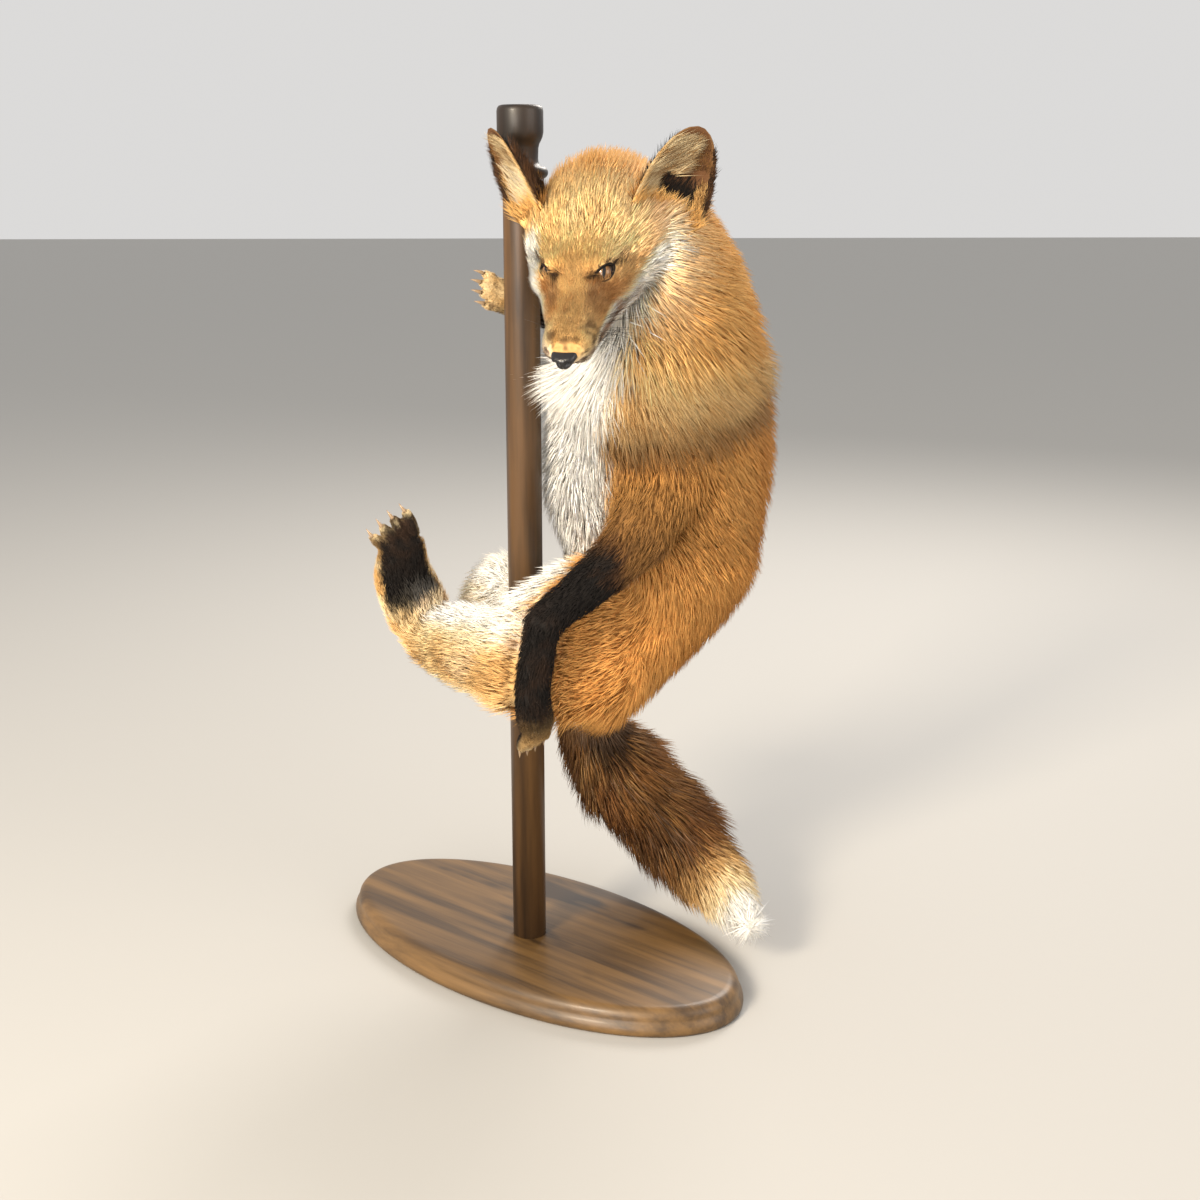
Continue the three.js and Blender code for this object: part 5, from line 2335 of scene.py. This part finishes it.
@dataclass
class EarFur:
    """The hair of both ears: black backs, a pale fringe and long pale hairs across the cups."""

    ears: list[Ear]
    triangles: int = 64_000
    seed: int = 77

    def zone(self, ear: Ear, zone: EarZone, rng: np.random.Generator) -> Tufts:
        """The tufts of one sort on one ear.

        Args:
            ear: The ear.
            zone: The sort.
            rng: Where the random numbers come from.

        Returns:
            The tufts.
        """
        n = int(self.triangles * zone.share / len(self.ears) / 4)
        low, high = zone.up
        t = low + (high - low) * (1.0 - np.sqrt(1.0 - rng.random(n) * 0.96))
        start, end = zone.across
        v = ear.inner * (1.0 - 2.0 * (start + (end - start) * rng.random(n)))
        step = 0.01
        root = ear.leaf(t, v, zone.front)
        rise = unit(ear.leaf(np.minimum(t + step, 0.995), v, zone.front) - root)
        aside = unit(ear.leaf(t, v + step, zone.front) - root)
        normal = unit(np.cross(rise, aside))
        normal *= np.sign(dot(normal, ear.open * zone.front))[:, None]
        flow = tangential(rise + aside * (zone.outward * np.sign(v))[:, None]
                          + 0.22 * rng.normal(size=(n, 3)), normal)
        hair = zone.hair * (0.7 + 0.5 * rng.random(n)) * (1.0 - 0.35 * np.clip(t, 0, 1))
        height = hair * zone.height * (0.6 + 0.8 * rng.random(n))
        tip = root + normal * height[:, None] + flow * hair[:, None]
        mix = np.clip(0.5 + 0.5 * noise(root, 7.0, 401) + 0.35 * rng.normal(size=n), 0, 1)
        colour = layered(zone.colours[0], root, (zone.colours[1], mix))
        column = self.ears.index(ear) + len(self.ears) * (zone.front > 0)
        patch = np.column_stack([(column + 0.5 + 0.45 * v) / 4, 0.05 + 0.9 * np.clip(t, 0, 1)])
        # shade paints the feet of the ear's tufts darker
        return Tufts(
            root=root - normal * 0.5, middle=root, tip=tip,
            side=unit(np.cross(flow, normal) + 0.4 * rng.normal(size=(n, 3))),
            width=0.22 * np.sqrt(hair) * (0.8 + 0.4 * rng.random(n)),
            colour=colour, shade=0.5 + 0.3 * rng.random(n), patch=patch, spike=True,
        )

    def build(self, material: Material) -> Piece:
        """Grows the hair of both ears as one piece."""
        rng = np.random.default_rng(self.seed)
        made = [self.zone(ear, zone, rng).shell() for ear in self.ears for zone in EAR_ZONES
                if ear.side in zone.sides]
        shells, uvs = zip(*made)
        return mapped(gathered(shells), np.vstack(uvs), "fur_ears", material)


# ---- camera and light


@dataclass(frozen=True)
class Lamp:
    """A square soft lamp that looks at the fox."""

    name: str
    at: Point
    size: float
    power: float
    colour: Colour
    aim: Point = (0.03, 0.0, 0.45)

    def build(self) -> None:
        """Makes the lamp."""
        data = bpy.data.lights.new(self.name, "AREA")
        data.energy, data.size, data.color = self.power, self.size, tuple(linear(self.colour))
        lamp = bpy.data.objects.new(self.name, data)
        lamp.location = self.at
        aim = Vector(self.aim) - Vector(self.at)
        lamp.rotation_euler = aim.to_track_quat("-Z", "Y").to_euler()
        bpy.context.scene.collection.objects.link(lamp)


@dataclass
class Studio:
    """The camera, a pale floor and soft light."""

    eye: Point = (0.0, -1.40943, 0.72494)
    look_down: float = 14.7
    look_right: float = 2.75
    lens: float = 47.91
    floor: float = 20.0  # half its width, m
    lamps: tuple[Lamp, ...] = (
        Lamp("key", (-1.6, -2.1, 1.75), 0.7, 118.0, (255, 240, 216)),
        Lamp("fill", (1.9, -1.4, 1.2), 1.6, 22.0, (255, 246, 236)),
        Lamp("low", (-1.1, -2.2, 0.5), 1.2, 30.0, (255, 250, 244)),
        Lamp("rim", (0.9, 1.7, 1.9), 1.0, 45.0, (255, 248, 240)),
    )

    def build(self) -> None:
        """Makes the camera, the lamps, the floor and the world."""
        scene = bpy.context.scene
        data = bpy.data.cameras.new("camera")
        data.lens, data.sensor_width = self.lens, 36.0
        data.clip_start, data.clip_end = 0.05, 50.0
        camera = bpy.data.objects.new("camera", data)
        camera.location = self.eye
        camera.rotation_euler = (math.radians(90 - self.look_down), 0, math.radians(-self.look_right))
        scene.collection.objects.link(camera)
        scene.camera = camera
        scene.view_settings.view_transform = "Standard"
        for lamp in self.lamps:
            lamp.build()
        world = bpy.data.worlds.new("studio")
        scene.world = world
        world.use_nodes = True
        back = world.node_tree.nodes["Background"]
        back.inputs["Color"].default_value = (0.84, 0.83, 0.82, 1.0)
        back.inputs["Strength"].default_value = 0.85
        mesh = bpy.data.meshes.new("floor")
        half = self.floor
        corners = [(-half, -half, 0), (half, -half, 0), (half, half, 0), (-half, half, 0)]
        mesh.from_pydata(corners, [], [(0, 1, 2, 3)])
        floor = bpy.data.objects.new("floor", mesh)
        mesh.materials.append(Plain("studio_floor", (176, 174, 170), 0.8).material())
        scene.collection.objects.link(floor)


def settle(piece: Piece, slot: str, *nodes: str) -> None:
    """Sets a finished piece on the body and reports it.

    Args:
        piece: The piece.
        slot: Its slot; not used.
        nodes: What it stands for.
    """
    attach(piece, BODY)
    if nodes:
        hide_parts(*nodes)
    log.info("%s: %d faces", piece.name, len(piece.data.polygons))


def main(frame: dict) -> None:
    """Builds the mounted fox, piece by piece.
    """
    skeleton = Skeleton()
    ears = [Ear(1, (-61, 59, 20), (-84, 94, 79), 15.0),
            Ear(-1, (-62, 50, 20), (-84, 83, 80), 42.0)]
    hide = Skin(skeleton).shell()
    log.info("skin: %d points, %d quads, %d tris", len(hide.points), len(hide.quads), len(hide.tris))
    whole = gathered([hide, *(ear.shell() for ear in ears), *(eye.rim() for eye in EYES)])
    fur = Hide().material()
    flesh = [n for n in frame["nodes"] if not n.startswith(("stand_", "eye_", "nose"))]
    settle(whole.object("fox_skin", fur), "fur_gold", *flesh)
    glass = EyeGlass()
    glass_finish = glass.material()
    for eye in EYES:
        shell, place = eye.ball()
        shell.colour = glass.paint(place)
        side = "left" if eye.side > 0 else "right"
        ball = shell.object(f"glass_eye_{side}", glass_finish)
        settle(ball, "eye_glass", f"eye_{side}")
    nose = Nose().shell().object("nose_pad", Leather().material())
    settle(nose, "nose_leather", "nose")
    bristle = Plain("whisker", (40, 32, 26), 0.4).material()
    settle(Whiskers().shell().object("whiskers", bristle), "fur_black")
    horn = Plain("claw_horn", (150, 124, 94), 0.35, 0.3).material()
    for foot, toes in skeleton.feet.items():
        settle(Claws(toes).shell().object(f"claws_{foot}", horn), "fur_cream")
    base_wood = Wood("base_wood", (52, 36, 18), (126, 94, 52), (90, 48, 0), streaks=0.6, knots=0.9)
    pole_wood = Wood("pole_wood", (32, 20, 10), (92, 65, 36), (0, 0, 0), streaks=0.9, knots=0.3)
    settle(Base().shell().object("base", base_wood.material()), "stained_wood", "stand_base")
    settle(Pole().shell().object("pole", pole_wood.material()), "stained_wood", "stand_pole")
    Coat(skeleton, ears, hide).build(fur)
    Studio().build()


if __name__ == "__main__":
    logging.basicConfig(level=logging.INFO, format="%(message)s")
    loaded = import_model()
    main(loaded)
